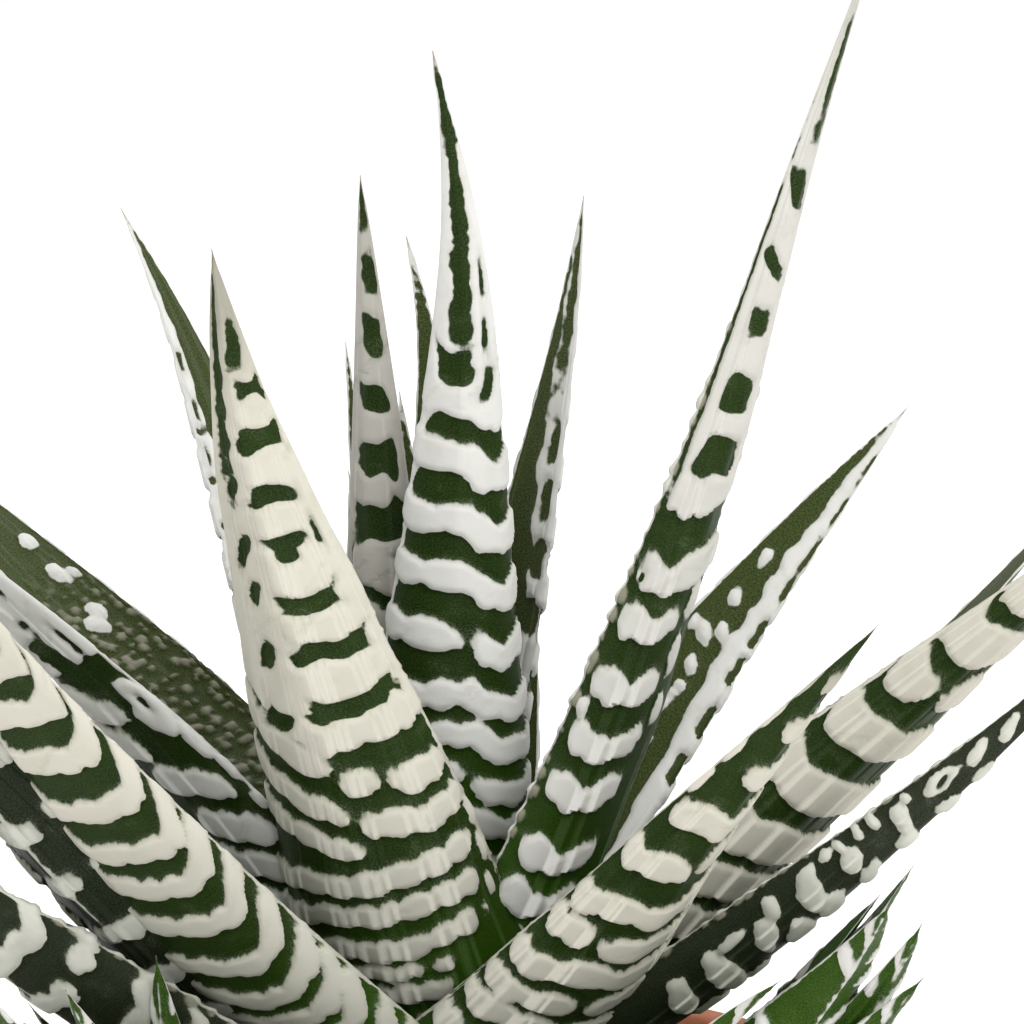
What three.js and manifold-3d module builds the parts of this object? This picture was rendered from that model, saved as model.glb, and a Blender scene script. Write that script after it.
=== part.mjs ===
// Potted zebra haworthia: a rosette of banded leaves with three offsets in a tapered clay pot.
// Millimetres, +Z up. The origin is the centre of the pot's flat underside.

import * as THREE from 'three';
import { mergeVertices } from 'three/addons/utils/BufferGeometryUtils.js';
import Module from 'manifold-3d';

const wasm = await Module();
wasm.setup();

// Pot and soil
const POT_HEIGHT = 67;
const POT_RIM_RADIUS = 39;
const POT_FOOT_RADIUS = 27;
const POT_WALL = 3.6;
const POT_FLOOR = 5;
const COLLAR_HEIGHT = 16;
const COLLAR_STEP = 1.8;
const DRAIN_HOLES = 4;
const DRAIN_RADIUS = 3;
const DRAIN_CIRCLE = 14;
const DRAIN_SIDES = 12;
const RIM_LIP = 1.2;
const FOOT_CHAMFER = 1;
const POT_SEGMENTS = 32;
const SOIL_LEVEL = 61.5;
const SOIL_RIM_DROP = 1.5;
const SOIL_ROUGHNESS = 0.6;
const SOIL_SEGMENTS = 24;

// Clearance between pieces that touch, and the depth of the plain holes that stems stand in
const SEAT_GAP = 0.3;
const SMALLEST_EDGE = 0.1;
const HOLE_DEPTH = 24;
const OFFSET_HOLE_DEPTH = 9;

// Rosette stem, hidden between the leaf bases; leaf roots are measured from ROSETTE_LEVEL
const ROSETTE_LEVEL = 65;
const STEM_RADIUS = 5.5;
const STEM_FOOT_RADIUS = 3.5;
const STEM_TOP_RADIUS = 3;
const STEM_HEIGHT = 27;
const STEM_SIDES = 10;

// Leaf section: a crescent with a rounded back, which turns into a keel towards the tip, and a
// nearly flat upper face. All of these but the two tip sizes are shares of the leaf's half width.
const BACK_DEPTH = 0.64;
const BACK_THINNING = 0.15;
const BACK_ROUNDNESS = 0.9;
const KEEL = 0.75;
const TOP_HOLLOW = -0.1;
const TOP_CROWN = 0.06;
const BASE_NECK = 0.25;
const BASE_NECK_LENGTH = 0.07;
const WIDTH_GAIN = 1.12;
const TAPER = 0.95;
const SWAY_FROM = 0.45;
const TIP_WIDTH = 0.3;
const TIP_DEPTH = 0.25;

// Steps that a leaf's curved middle is added up from
const MIDLINE_STEPS = 60;

// Raised cross bands on the back of each leaf
const BAND_RELIEF = 0.45;
const BAND_FADE = 0.5;
const BAND_CROWDING = 0.12;
const BAND_ARCH = 0.1;

// The broadest leaves have more sides, and the leaves at the back have fewer, longer bands.
const BROAD_LEAF = 16.5;
const BROAD_SIDES = 8;
const NARROW_SIDES = 6;
const FRONT_PITCH = 5.3;
const BACK_PITCH = 9;
const CLEARANCE_SPARE = 0.12;
const CLEARANCE_MARGIN_LIFT = 0.5;

// Offsets: small young rosettes on stems of their own
const OFFSET_STEM_RADIUS = 2.4;
const OFFSET_STEM_HEIGHT = 6;
const OFFSET_STEM_SIDES = 8;
const OFFSET_SIDES = 5;
const OFFSET_PITCH = 8;

const CLAY = 0xa9623f;
const EARTH = 0x3a2d24;
const STEM_GREEN = 0x5e6a35;
const GREEN = 0x2c4a1c;
const BRIGHT_GREEN = 0x46721f;
const CLAY_ROUGHNESS = 0.85;
const EARTH_ROUGHNESS = 0.95;
const STEM_ROUGHNESS = 0.7;
const LEAF_ROUGHNESS = 0.5;

// The leaves of the rosette, from the lowest to the highest. heading turns from +X towards +Y, and
// lean is measured from the vertical, at the base and at the tip. root is the height of the base
// above ROSETTE_LEVEL and start its place beside the axis. sway bends the part past swayFrom
// sideways, and roll twists the leaf past its base. A positive roll turns the upper face right.
const LEAVES = [
  { heading: -100, lean: [80, 70], length: 56, width: 16, root: 2.2, start: [-0.5, -3] },
  { heading: 108, lean: [74, 64], length: 60, width: 16, root: 2.5, start: [-1, 3] },
  { heading: 145, lean: [82, 74], length: 62, width: 15, root: 2.6, start: [-2.5, 2] },
  { heading: -68, lean: [78, 70], length: 58, width: 16, root: 3.2, start: [1, -3] },
  { heading: 75, lean: [72, 62], length: 60, width: 16, root: 3.5, start: [1, 3] },
  { heading: -122, lean: [74, 67], length: 58, width: 15, root: 3.8, start: [-1.5, -2.5] },
  { heading: -158, lean: [68, 42], length: 73, width: 21, root: 4, start: [-4.6, -2.8],
    roll: 22, taper: 0.9 },
  { heading: 35, lean: [66, 58], length: 62, width: 15, root: 5, start: [2.5, 1.5] },
  { heading: 128, lean: [64, 58], length: 60, width: 16, root: 6, start: [-2, 2.5] },
  { heading: -150, lean: [59.5, 36.5], length: 68, width: 19.5, root: 6.4, start: [-3.8, -1.4],
    roll: 27, taper: 0.85 },
  { heading: 11, lean: [53.5, 44.5], length: 75.5, width: 11.5, root: 6.4, start: [2.8, 0.8],
    sway: -8, roll: 1 },
  { heading: -52, lean: [52.5, 43.5], length: 68, width: 22, root: 6.2, start: [0.2, -2.2],
    sway: -9, roll: -2, taper: 1 },
  { heading: 95, lean: [62, 56], length: 60, width: 16, root: 7, start: [0, 3] },
  { heading: -25, lean: [60.5, 42], length: 77.5, width: 16.5, root: 7, start: [4.6, -2.8],
    sway: -4, roll: -17, taper: 1.05 },
  { heading: -141, lean: [50, 34.5], length: 92, width: 24.5, root: 7.4, start: [-3.4, -2.4],
    roll: 2, taper: 1 },
  { heading: 60, lean: [62, 57], length: 56, width: 14, root: 8.5, start: [1.5, 2.5] },
  { heading: -15, lean: [49, 48.5], length: 81.5, width: 17.5, root: 7.8, start: [3, -1],
    sway: 6, roll: -47 },
  { heading: -121, lean: [31.5, 25], length: 80, width: 22.5, root: 9, start: [1.2, -1.4],
    sway: -8, swayFrom: 0.65, roll: 14, taper: 1 },
  { heading: 32, lean: [43.5, 43.5], length: 67.5, width: 13, root: 9.4, start: [-0.2, 2.2],
    sway: 8, swayFrom: 0.3, roll: 38, taper: 0.85 },
  { heading: 62, lean: [34, 16], length: 36, width: 11, root: 9.6, start: [1, 2] },
  { heading: 112, lean: [46, 44], length: 58, width: 15, root: 10, start: [-1, 2.5] },
  { heading: -162, lean: [39.5, 51], length: 73.5, width: 16.5, root: 10.2, start: [-1, 1.4],
    sway: 2, roll: 19, taper: 0.85 },
  { heading: 88, lean: [38, 34], length: 56, width: 14, root: 12, start: [0.5, 2] },
  { heading: -35, lean: [30.5, 13.5], length: 99, width: 14.5, root: 12.2, start: [2.2, -3.6],
    sway: -13, swayFrom: 0.65, roll: -8, taper: 1.1 },
  { heading: 151, lean: [47.5, 59], length: 75.5, width: 18, root: 13, start: [-1, 0.4],
    sway: 4, roll: -15 },
  { heading: 157, lean: [18.5, 23.5], length: 68.5, width: 16, root: 14, start: [-3.4, -0.4],
    sway: -13, swayFrom: 0.7, roll: -14 },
  { heading: 115, lean: [24, 20], length: 42, width: 11, root: 15, start: [-1.5, 1.5] },
  { heading: 132, lean: [12, 9], length: 50, width: 7.5, root: 17, start: [-2, 2] },
  { heading: 70, lean: [20, 14], length: 38, width: 9, root: 17.2, start: [1.5, 2] },
  { heading: 35, lean: [17, 12.5], length: 62.5, width: 10, root: 18, start: [-0.4, 0.8],
    sway: -6, swayFrom: 0.7, roll: 10, taper: 0.85 },
  { heading: -73, lean: [9.5, 6], length: 74.5, width: 15, root: 19, start: [0, -2.8],
    sway: 13, swayFrom: 0.6, roll: -16, taper: 1.1 },
  { heading: 96, lean: [7, 9], length: 56, width: 7.5, root: 20, start: [-0.2, 0.2],
    sway: -13, swayFrom: 0.7, roll: -2, taper: 0.9 },
  { heading: -130, lean: [4, 4.5], length: 61.5, width: 10, root: 20.4, start: [-3.2, -1.2],
    sway: 1, roll: 4, taper: 0.85 },
  { heading: 116, lean: [3, 7], length: 39, width: 7, root: 24, start: [-1.4, 0],
    sway: -3, roll: -4, taper: 0.9 },
];

// The offsets, each with its place in the soil. Their leaves' roots are measured from SOIL_LEVEL.
const OFFSETS = [
  {
    name: 'offset_right',
    place: [19, -13],
    leaves: [
      { heading: -56, lean: [48, 50], length: 42.5, width: 12, root: 5.8, sway: 13, roll: -16, taper: 0.85 },
      { heading: -15, lean: [42.5, 34], length: 33, width: 9.5, root: 5.6, sway: 11, roll: 11, taper: 0.85 },
      { heading: -12, lean: [34.5, 40], length: 29, width: 9.5, root: 5.6, sway: 13, roll: 14, taper: 0.9 },
      { heading: -45, lean: [56, 38.5], length: 39.5, width: 10, root: 4, sway: 13, roll: -16, taper: 0.85 },
      { heading: -47, lean: [58, 47.5], length: 36, width: 10, root: 4.4, sway: 5, roll: -15, taper: 0.85 },
      { heading: 25, lean: [50, 42], length: 24, width: 8, root: 3 },
      { heading: 170, lean: [26, 14], length: 11, width: 6.5, root: 3.5 },
    ],
  },
  {
    name: 'offset_front',
    place: [11, -22.5],
    leaves: [
      { heading: -26, lean: [34, 54], length: 27, width: 8.5, root: 6, sway: 13, roll: -16, taper: 0.85 },
      { heading: -60, lean: [46, 38], length: 19, width: 7, root: 3 },
      { heading: -120, lean: [46, 38], length: 17, width: 7, root: 3 },
      { heading: 170, lean: [40, 32], length: 14, width: 6, root: 3.5 },
      { heading: -95, lean: [18, 8], length: 16, width: 6, root: 4 },
    ],
  },
  {
    name: 'offset_left',
    place: [-20.5, -14.5],
    leaves: [
      { heading: -172, lean: [54, 44], length: 28, width: 9, root: 3.5 },
      { heading: -148, lean: [50, 40], length: 30, width: 9.5, root: 4 },
      { heading: -118, lean: [46, 38], length: 27, width: 9, root: 4 },
      { heading: -85, lean: [48, 40], length: 22, width: 8, root: 3 },
      { heading: 165, lean: [48, 40], length: 20, width: 8, root: 3 },
      { heading: -110, lean: [22, 14], length: 20, width: 7, root: 5 },
    ],
  },
];

const degrees = THREE.MathUtils.degToRad;
const smooth = (from, to, value) => THREE.MathUtils.smoothstep(value, from, to);
const mix = THREE.MathUtils.lerp;
const isBehind = (heading) => heading > 30 && heading < 150;

// Unit directions along a leaf at u: its run, the normal of its upper face, and its side
function leafFrame(leaf, u) {
  const heading = degrees(leaf.heading);
  const lean = degrees(mix(leaf.lean[0], leaf.lean[1], u));
  const sway = degrees((leaf.sway ?? 0) * smooth(leaf.swayFrom ?? SWAY_FROM, 1, u));
  const run = new THREE.Vector3(
    Math.sin(lean) * Math.cos(heading), Math.sin(lean) * Math.sin(heading), Math.cos(lean));
  const up = new THREE.Vector3(
    -Math.cos(lean) * Math.cos(heading), -Math.cos(lean) * Math.sin(heading), Math.sin(lean));
  const side = new THREE.Vector3().crossVectors(run, up);
  const swayed = run.clone().multiplyScalar(Math.cos(sway)).addScaledVector(side, Math.sin(sway));
  side.multiplyScalar(Math.cos(sway)).addScaledVector(run, -Math.sin(sway));
  const roll = degrees((leaf.roll ?? 0) * smooth(0, 0.5, u));
  const rolled = up.clone().multiplyScalar(Math.cos(roll)).addScaledVector(side, Math.sin(roll));
  side.multiplyScalar(Math.cos(roll)).addScaledVector(up, -Math.sin(roll));
  return { run: swayed, up: rolled, side };
}

// Points along a leaf's middle, by adding up short straight steps
function leafMidline(leaf, level) {
  const points = [new THREE.Vector3(leaf.start[0], leaf.start[1], level + leaf.root)];
  for (let step = 0; step < MIDLINE_STEPS; step += 1) {
    const { run } = leafFrame(leaf, (step + 0.5) / MIDLINE_STEPS);
    points.push(points[step].clone().addScaledVector(run, leaf.length / MIDLINE_STEPS));
  }
  return (u) => {
    const place = THREE.MathUtils.clamp(u, 0, 1) * MIDLINE_STEPS;
    const step = Math.min(Math.floor(place), MIDLINE_STEPS - 1);
    return points[step].clone().lerp(points[step + 1], place - step);
  };
}

function halfWidth(leaf, u) {
  const neck = 1 - BASE_NECK * Math.exp(-u / BASE_NECK_LENGTH);
  const taper = Math.pow(Math.max(1 - u, 0), leaf.taper ?? TAPER);
  return Math.max(0.5 * leaf.width * neck * taper * WIDTH_GAIN, TIP_WIDTH);
}

// Where along the leaf a band number falls, with the bands closer together near the base
function bandPlace(fraction) {
  const crowd = 1 + BAND_CROWDING;
  return (crowd - Math.sqrt(crowd * crowd - 4 * BAND_CROWDING * fraction)) / (2 * BAND_CROWDING);
}

// One side of the ring in four belongs to the upper face; the others are spread over the back.
function sectionAngle(turn, sides) {
  const margin = 1 / sides;
  const away = Math.min(turn, 1 - turn);
  const angle = away <= margin ? 0.25 * away / margin : 0.25 + 0.25 * (away - margin) / (0.5 - margin);
  return 2 * Math.PI * (turn <= 0.5 ? angle : 1 - angle);
}

function bandCount(leaf) {
  const pitch = leaf.pitch ?? (isBehind(leaf.heading) ? BACK_PITCH : FRONT_PITCH);
  return Math.round(leaf.length / pitch);
}

// A leaf as a closed tube of rings, two to each raised band
function leafGeometry(leaf, level) {
  return leafTube(leaf, level, 2 * bandCount(leaf), BAND_RELIEF, 0);
}

// The plain form that a leaf's neighbours are hollowed to: its outline over the bands' crests, with
// the gap all round
function leafClearance(leaf, level) {
  return leafTube(leaf, level, bandCount(leaf), 0, SEAT_GAP + BAND_RELIEF + CLEARANCE_SPARE);
}

// swell moves the whole skin outwards.
function leafTube(leaf, level, rings, bandRelief, swell) {
  const sides = leaf.sides ?? (leaf.width > BROAD_LEAF ? BROAD_SIDES : NARROW_SIDES);
  const geometry = new THREE.CylinderGeometry(1, 1, 1, sides, rings);
  const midline = leafMidline(leaf, level);
  const position = geometry.attributes.position;
  const vertex = new THREE.Vector3();
  for (let index = 0; index < position.count; index += 1) {
    vertex.fromBufferAttribute(position, index);
    const fraction = vertex.y + 0.5;
    const inner = Math.hypot(vertex.x, vertex.z) < 0.5;
    const turn = (Math.atan2(vertex.x, vertex.z) / (2 * Math.PI) + 1) % 1;
    const angle = sectionAngle(turn, sides);
    const across = inner ? 0 : Math.sin(angle);
    const height = inner ? 0 : Math.cos(angle);
    const inside = fraction > 0.001 && fraction < 0.999;
    const straight = bandPlace(fraction);
    const arch = inside ? BAND_ARCH * across * across * halfWidth(leaf, straight) / leaf.length : 0;
    const u = Math.min(straight + arch, 1);
    const half = halfWidth(leaf, u);
    const keel = KEEL * smooth(0.2, 0.7, u);
    const round = Math.pow(Math.abs(height), BACK_ROUNDNESS);
    const ridge = 1 - Math.abs(across);
    const upper = smooth(0.5, 1, u);
    const crest = inside && Math.round(fraction * rings) % 2 === 0;
    const relief = crest ? bandRelief * (1 - BAND_FADE * upper) * Math.abs(height) : 0;
    const depth = Math.max(half * BACK_DEPTH * (1 - BACK_THINNING * upper), TIP_DEPTH);
    const crown = half * mix(TOP_HOLLOW, TOP_CROWN, smooth(0.35, 0.9, u));
    const back = -mix(round, ridge, keel) * depth - relief - swell;
    const top = height * height * crown + swell;
    const { up, side } = leafFrame(leaf, u);
    const along = fraction < 0.001 ? -swell : (fraction > 0.999 ? swell : 0);
    const onMargin = Math.abs(height) < 0.001;
    const skin = onMargin ? CLEARANCE_MARGIN_LIFT * swell : (height > 0 ? top : back);
    const lift = inner ? 0.5 * (crown - depth) : skin;
    const place = midline(u)
      .addScaledVector(side, across * (half + swell))
      .addScaledVector(up, lift)
      .addScaledVector(leafFrame(leaf, u).run, along);
    position.setXYZ(index, place.x, place.y, place.z);
  }
  return geometry;
}

function solidOf(geometry) {
  const bare = geometry.clone();
  bare.deleteAttribute('normal');
  bare.deleteAttribute('uv');
  const merged = mergeVertices(bare, 1e-4);
  const mesh = new wasm.Mesh({
    numProp: 3,
    vertProperties: new Float32Array(merged.attributes.position.array),
    triVerts: new Uint32Array(merged.index.array),
  });
  return new wasm.Manifold(mesh);
}

function geometryOf(solid) {
  const mesh = solid.getMesh();
  const geometry = new THREE.BufferGeometry();
  geometry.setAttribute('position', new THREE.BufferAttribute(new Float32Array(mesh.vertProperties), 3));
  geometry.setIndex(new THREE.BufferAttribute(new Uint32Array(mesh.triVerts), 1));
  geometry.computeVertexNormals();
  return geometry;
}

// The largest body of a solid that a cut may have left in pieces
function largestBody(solid) {
  return solid.decompose().reduce((best, body) => (body.volume() > best.volume() ? body : best));
}

const group = new THREE.Group();
function addPiece(name, solid, color, roughness) {
  const material = new THREE.MeshStandardMaterial({ color, roughness, metalness: 0 });
  const mesh = new THREE.Mesh(geometryOf(solid), material);
  mesh.name = name;
  group.add(mesh);
}

function upright(points, segments) {
  const geometry = new THREE.LatheGeometry(points.map(([r, z]) => new THREE.Vector2(r, z)), segments);
  return geometry.rotateX(Math.PI / 2);
}

function peg(radius, bottom, top, x, y, sides) {
  const geometry = new THREE.CylinderGeometry(radius, radius, top - bottom, sides, 1);
  return geometry.rotateX(Math.PI / 2).translate(x, y, (top + bottom) / 2);
}

// Clay pot: a hollow tapered wall with a deeper collar round the rim and drain holes in its floor
const collarFoot = POT_HEIGHT - COLLAR_HEIGHT;
const outerRadius = (z) => mix(POT_FOOT_RADIUS, POT_RIM_RADIUS - COLLAR_STEP, z / POT_HEIGHT);
const innerRadius = (z) => outerRadius(z) - POT_WALL;
const potProfile = [
  [0, 0],
  [POT_FOOT_RADIUS - FOOT_CHAMFER, 0],
  [outerRadius(FOOT_CHAMFER), FOOT_CHAMFER],
  [outerRadius(collarFoot), collarFoot],
  [outerRadius(collarFoot) + COLLAR_STEP, collarFoot + 0.6 * COLLAR_STEP],
  [POT_RIM_RADIUS, POT_HEIGHT - RIM_LIP],
  [POT_RIM_RADIUS - RIM_LIP, POT_HEIGHT],
  [innerRadius(POT_HEIGHT) + RIM_LIP, POT_HEIGHT],
  [innerRadius(POT_HEIGHT), POT_HEIGHT - RIM_LIP],
  [innerRadius(POT_FLOOR), POT_FLOOR],
  [0, POT_FLOOR],
];
let pot = solidOf(upright(potProfile, POT_SEGMENTS));
for (let hole = 0; hole < DRAIN_HOLES; hole += 1) {
  const turn = 2 * Math.PI * (hole + 0.5) / DRAIN_HOLES;
  const x = DRAIN_CIRCLE * Math.cos(turn);
  const y = DRAIN_CIRCLE * Math.sin(turn);
  pot = pot.subtract(solidOf(peg(DRAIN_RADIUS, -1, POT_FLOOR + 1, x, y, DRAIN_SIDES)));
}
addPiece('pot', pot, CLAY, CLAY_ROUGHNESS);

// Soil: a plug that fills the pot, with a rough top that sinks a little towards the wall
const soilFoot = POT_FLOOR + SEAT_GAP;
const soilEdge = SOIL_LEVEL - SOIL_RIM_DROP;
const soilFootRadius = innerRadius(soilFoot) - SEAT_GAP;
const soilRadius = innerRadius(soilEdge) - SEAT_GAP;
const soilRings = [1, 0.76, 0.52, 0.28];
const soilProfile = [
  [0, soilFoot],
  [soilFootRadius, soilFoot],
  ...soilRings.map((ring) => [soilRadius * ring, mix(SOIL_LEVEL, soilEdge, ring * ring)]),
  [0, SOIL_LEVEL],
];
const soilGeometry = upright(soilProfile, SOIL_SEGMENTS);
const soilPoints = soilGeometry.attributes.position;
for (let index = 0; index < soilPoints.count; index += 1) {
  const x = soilPoints.getX(index);
  const y = soilPoints.getY(index);
  const inside = soilPoints.getZ(index) > soilEdge + 0.1;
  const lumps = Math.sin(0.9 * x + 1.3) * Math.cos(0.8 * y) + 0.6 * Math.sin(1.7 * y - 0.6 * x);
  soilPoints.setZ(index, soilPoints.getZ(index) + (inside ? SOIL_ROUGHNESS * lumps : 0));
}

// The stem carries the rosette and stands in a plain hole in the soil.
const stemFoot = SOIL_LEVEL - HOLE_DEPTH;
const stemSolid = (swell) => solidOf(upright([
  [0, stemFoot - swell],
  [STEM_FOOT_RADIUS + swell, stemFoot - swell],
  [STEM_RADIUS + swell, SOIL_LEVEL],
  [STEM_TOP_RADIUS + swell, ROSETTE_LEVEL + STEM_HEIGHT + swell],
  [0, ROSETTE_LEVEL + STEM_HEIGHT + swell],
], STEM_SIDES));
const swollenStem = stemSolid(SEAT_GAP);

// Inner leaves keep their whole base. Each outer one is hollowed where an inner one lies on it.
const swollenLeaves = [];
const leafSolids = [];
for (let index = LEAVES.length - 1; index >= 0; index -= 1) {
  let solid = solidOf(leafGeometry(LEAVES[index], ROSETTE_LEVEL)).subtract(swollenStem);
  for (const inner of swollenLeaves) {
    solid = solid.subtract(inner);
  }
  leafSolids[index] = largestBody(solid.simplify(SMALLEST_EDGE));
  swollenLeaves.push(solidOf(leafClearance(LEAVES[index], ROSETTE_LEVEL)));
}

// The stem of an offset, or the hole in the soil that it stands in
function offsetPeg(offset, swell) {
  const [x, y] = offset.place;
  const radius = OFFSET_STEM_RADIUS + swell;
  const foot = SOIL_LEVEL - OFFSET_HOLE_DEPTH - swell;
  return solidOf(peg(radius, foot, SOIL_LEVEL + OFFSET_STEM_HEIGHT, x, y, OFFSET_STEM_SIDES));
}

// An offset is one solid of short leaves fused to its own stem.
function offsetSolid(offset) {
  let solid = offsetPeg(offset, 0);
  for (const row of offset.leaves) {
    const leaf = { ...row, start: offset.place, sides: OFFSET_SIDES, pitch: OFFSET_PITCH };
    solid = solid.add(solidOf(leafGeometry(leaf, SOIL_LEVEL)));
  }
  for (const leaf of swollenLeaves) {
    solid = solid.subtract(leaf);
  }
  return largestBody(solid.simplify(SMALLEST_EDGE));
}

let soil = solidOf(soilGeometry).subtract(swollenStem);
for (const offset of OFFSETS) {
  soil = soil.subtract(offsetPeg(offset, SEAT_GAP));
}
addPiece('soil', soil, EARTH, EARTH_ROUGHNESS);
addPiece('stem', stemSolid(0), STEM_GREEN, STEM_ROUGHNESS);
leafSolids.forEach((solid, index) => {
  addPiece(`leaf_${String(index + 1).padStart(2, '0')}`, solid, GREEN, LEAF_ROUGHNESS);
});
for (const offset of OFFSETS) {
  addPiece(offset.name, offsetSolid(offset), BRIGHT_GREEN, LEAF_ROUGHNESS);
}

export default group;
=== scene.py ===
"""Potted zebra haworthia: banded leaves, young offsets, gritty soil and a clay pot."""

import logging
import math
from dataclasses import dataclass, field, replace
from enum import Enum

import bmesh
import bpy
import numpy as np
from mathutils import Matrix, Vector


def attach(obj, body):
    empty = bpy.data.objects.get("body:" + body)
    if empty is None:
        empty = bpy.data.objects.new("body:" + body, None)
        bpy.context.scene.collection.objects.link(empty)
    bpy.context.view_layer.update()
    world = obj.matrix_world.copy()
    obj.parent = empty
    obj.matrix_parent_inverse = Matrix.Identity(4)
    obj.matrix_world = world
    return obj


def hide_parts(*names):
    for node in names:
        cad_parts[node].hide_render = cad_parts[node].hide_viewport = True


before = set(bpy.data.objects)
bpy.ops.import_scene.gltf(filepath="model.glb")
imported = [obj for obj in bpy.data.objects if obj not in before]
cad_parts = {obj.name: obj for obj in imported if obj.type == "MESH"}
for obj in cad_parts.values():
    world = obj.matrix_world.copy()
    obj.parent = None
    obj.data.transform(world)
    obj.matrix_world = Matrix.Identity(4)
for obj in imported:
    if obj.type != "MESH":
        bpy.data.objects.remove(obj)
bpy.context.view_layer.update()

log = logging.getLogger("haworthia")

MM = 0.001
ROSETTE_LEVEL = 65.0
SOIL_LEVEL = 61.5

Colour = tuple[float, float, float]
Pair = tuple[float, float]


def mix(a: float, b: float, share: np.ndarray | float) -> np.ndarray | float:
    """Value that lies a share of the way from a to b."""
    return a + (b - a) * share


def ease(low: float, high: float, value: np.ndarray | float) -> np.ndarray | float:
    """Smooth step from 0 at low to 1 at high."""
    share = np.clip((value - low) / (high - low), 0.0, 1.0)
    return share * share * (3.0 - 2.0 * share)


def soft_min(a: np.ndarray, b: np.ndarray, radius: float) -> np.ndarray:
    """Lower of two distances, with the corner between them rounded."""
    share = np.clip(0.5 + 0.5 * (b - a) / radius, 0.0, 1.0)
    return b * (1.0 - share) + a * share - radius * share * (1.0 - share)


def soft_max(a: np.ndarray, b: np.ndarray, radius: float) -> np.ndarray:
    """Higher of two distances, with the corner between them filled."""
    return -soft_min(-a, -b, radius)


def pillow(depth: np.ndarray, radius: float) -> np.ndarray:
    """Quarter-round profile: 0 at an edge and 1 from a radius inside it."""
    inside = np.clip(depth / radius, 0.0, 1.0)
    return np.sqrt(1.0 - (1.0 - inside) ** 2)


class Ripple:
    """Smooth seeded unevenness: a sum of waves that run in random directions."""

    WAVES = 7

    def __init__(self, rng: np.random.Generator, length: float) -> None:
        """Draws the waves.

        Args:
            rng: source of the random numbers.
            length: middling wave length, in millimetres.
        """
        turns = rng.uniform(0.0, 2.0 * math.pi, self.WAVES)
        rates = 2.0 * math.pi / (length * rng.uniform(0.7, 1.5, self.WAVES))
        self.waves = list(zip(rates * np.cos(turns), rates * np.sin(turns),
                              rng.uniform(0.0, 2.0 * math.pi, self.WAVES)))

    def at(self, x: np.ndarray, y: np.ndarray) -> np.ndarray:
        """Height of the waves at places, mostly between -1 and 1.

        Args:
            x: first coordinates of the places, in millimetres.
            y: second coordinates.

        Returns:
            The heights.
        """
        total = np.zeros(np.broadcast(x, y).shape)
        for rate_x, rate_y, phase in self.waves:
            total += np.sin(rate_x * x + rate_y * y + phase)
        return total / math.sqrt(2.0 * self.WAVES)


class Tone(Enum):
    """How a leaf is tinted."""

    CREAM = "cream"
    WHITE = "white"
    # The plain white with painted shade: its bands are painted darker for the long leaf whose top catches the
    # most light.
    PAINTED_SHADE_WHITE = "pale"
    # White painted grey as painted shade, for an inner leaf that stands behind others.
    PAINTED_SHADE_GREY = "grey"
    DARK = "dark"
    YOUNG = "young"


@dataclass(frozen=True)
class Spot:
    """A rounded mark on a leaf.

    along is in millimetres from the base and share is the place across the face, -1 and 1 at the
    margins. long and wide are half sizes in millimetres. turn is in degrees, bend lifts the mark's
    two sides towards the leaf's tip, in millimetres, and flare makes its sides longer than its middle.
    """

    along: float
    share: float
    long: float
    wide: float
    turn: float = 0.0
    bend: float = 0.0
    flare: float = 0.0

    ROUND = 2.4
    SQUARE = 3.6

    def depth(self, along: np.ndarray, share: np.ndarray, reach: float, wobble: np.ndarray,
              corner: float = ROUND) -> np.ndarray:
        """Distance inside the mark, which narrows with the leaf.

        Args:
            along: distance from the leaf's base, in millimetres.
            share: place across the face, -1 and 1 at the margins.
            reach: distance from the middle to the margin at the mark, in millimetres.
            wobble: unevenness of the outline, between -1 and 1.
            corner: how square the outline is.

        Returns:
            Millimetres inside the outline, below 0 outside it.
        """
        turn = math.radians(self.turn)
        away_x, away_y = along - self.along, (share - self.share) * reach
        x = away_x * math.cos(turn) + away_y * math.sin(turn)
        y = away_y * math.cos(turn) - away_x * math.sin(turn)
        across = np.minimum(np.abs(y / self.wide), 1.5)
        x = (x - self.bend * across ** 2) / (self.long * (1.0 + self.flare * (across ** 2 - 0.4)))
        span = (np.abs(x) ** corner + np.abs(y / self.wide) ** corner) ** (1.0 / corner)
        return (1.0 + 0.16 * wobble - span) * min(self.long, self.wide)


@dataclass(frozen=True)
class Band:
    """One cross band whose place is set, in millimetres.

    along is its middle on the keel and skew its rise from there to the margin above 0. ends are the
    shares between which it lies and cuts the shares at which it is cut. thick is half its thickness,
    or 0 for the thickness that follows from the pitch.
    """

    along: float
    skew: float = 0.0
    ends: Pair | None = None
    cuts: tuple[float, ...] | None = None
    thick: float = 0.0


@dataclass(frozen=True)
class Marking:
    """How the raised white bands lie on a leaf; lengths are in millimetres.

    A pair gives the value at the leaf's base and the one at its tip, except that sides gives how
    far the bands reach to the side below 0 and to the one above it, edges how wide the margin
    strips are on the two sides, and bend how far the lower edge of the solid white rises to them.
    wave gives the rise of the bands at some shares across the back.
    """

    bands: tuple[Band, ...] = ()
    pitch: Pair = (3.7, 5.0)
    first: float = 4.0
    share: Pair = (0.5, 0.72)
    sag: float = 0.22
    wave: tuple[Pair, ...] = ()
    notch: float = 0.0
    notch_at: float = 0.0
    waver: float = 0.3
    lobe: float = 2.6
    lobe_depth: float = 0.4
    cuts: Pair = (0.8, 0.0)
    gap: float = 0.22
    loss: float = 0.0
    sides: Pair = (0.9, 0.9)
    spread: float = 0.25
    margin: Pair = (0.2, 0.6)
    edges: Pair = (1.0, 1.0)
    keel: Pair = (0.0, 0.35)
    solid: float = 400.0
    bend: Pair = (0.0, 0.0)
    windows: tuple[Spot, ...] = ()
    pads: tuple[Spot, ...] = ()
    hem: Pair = (2.0, 2.0)
    hem_side: float = 1.0
    hem_windows: tuple[Spot, ...] = ()
    face_spots: tuple[Spot, ...] = ()
    spots: int = 3
    beads: float = 0.0
    teeth: float = 0.25


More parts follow.
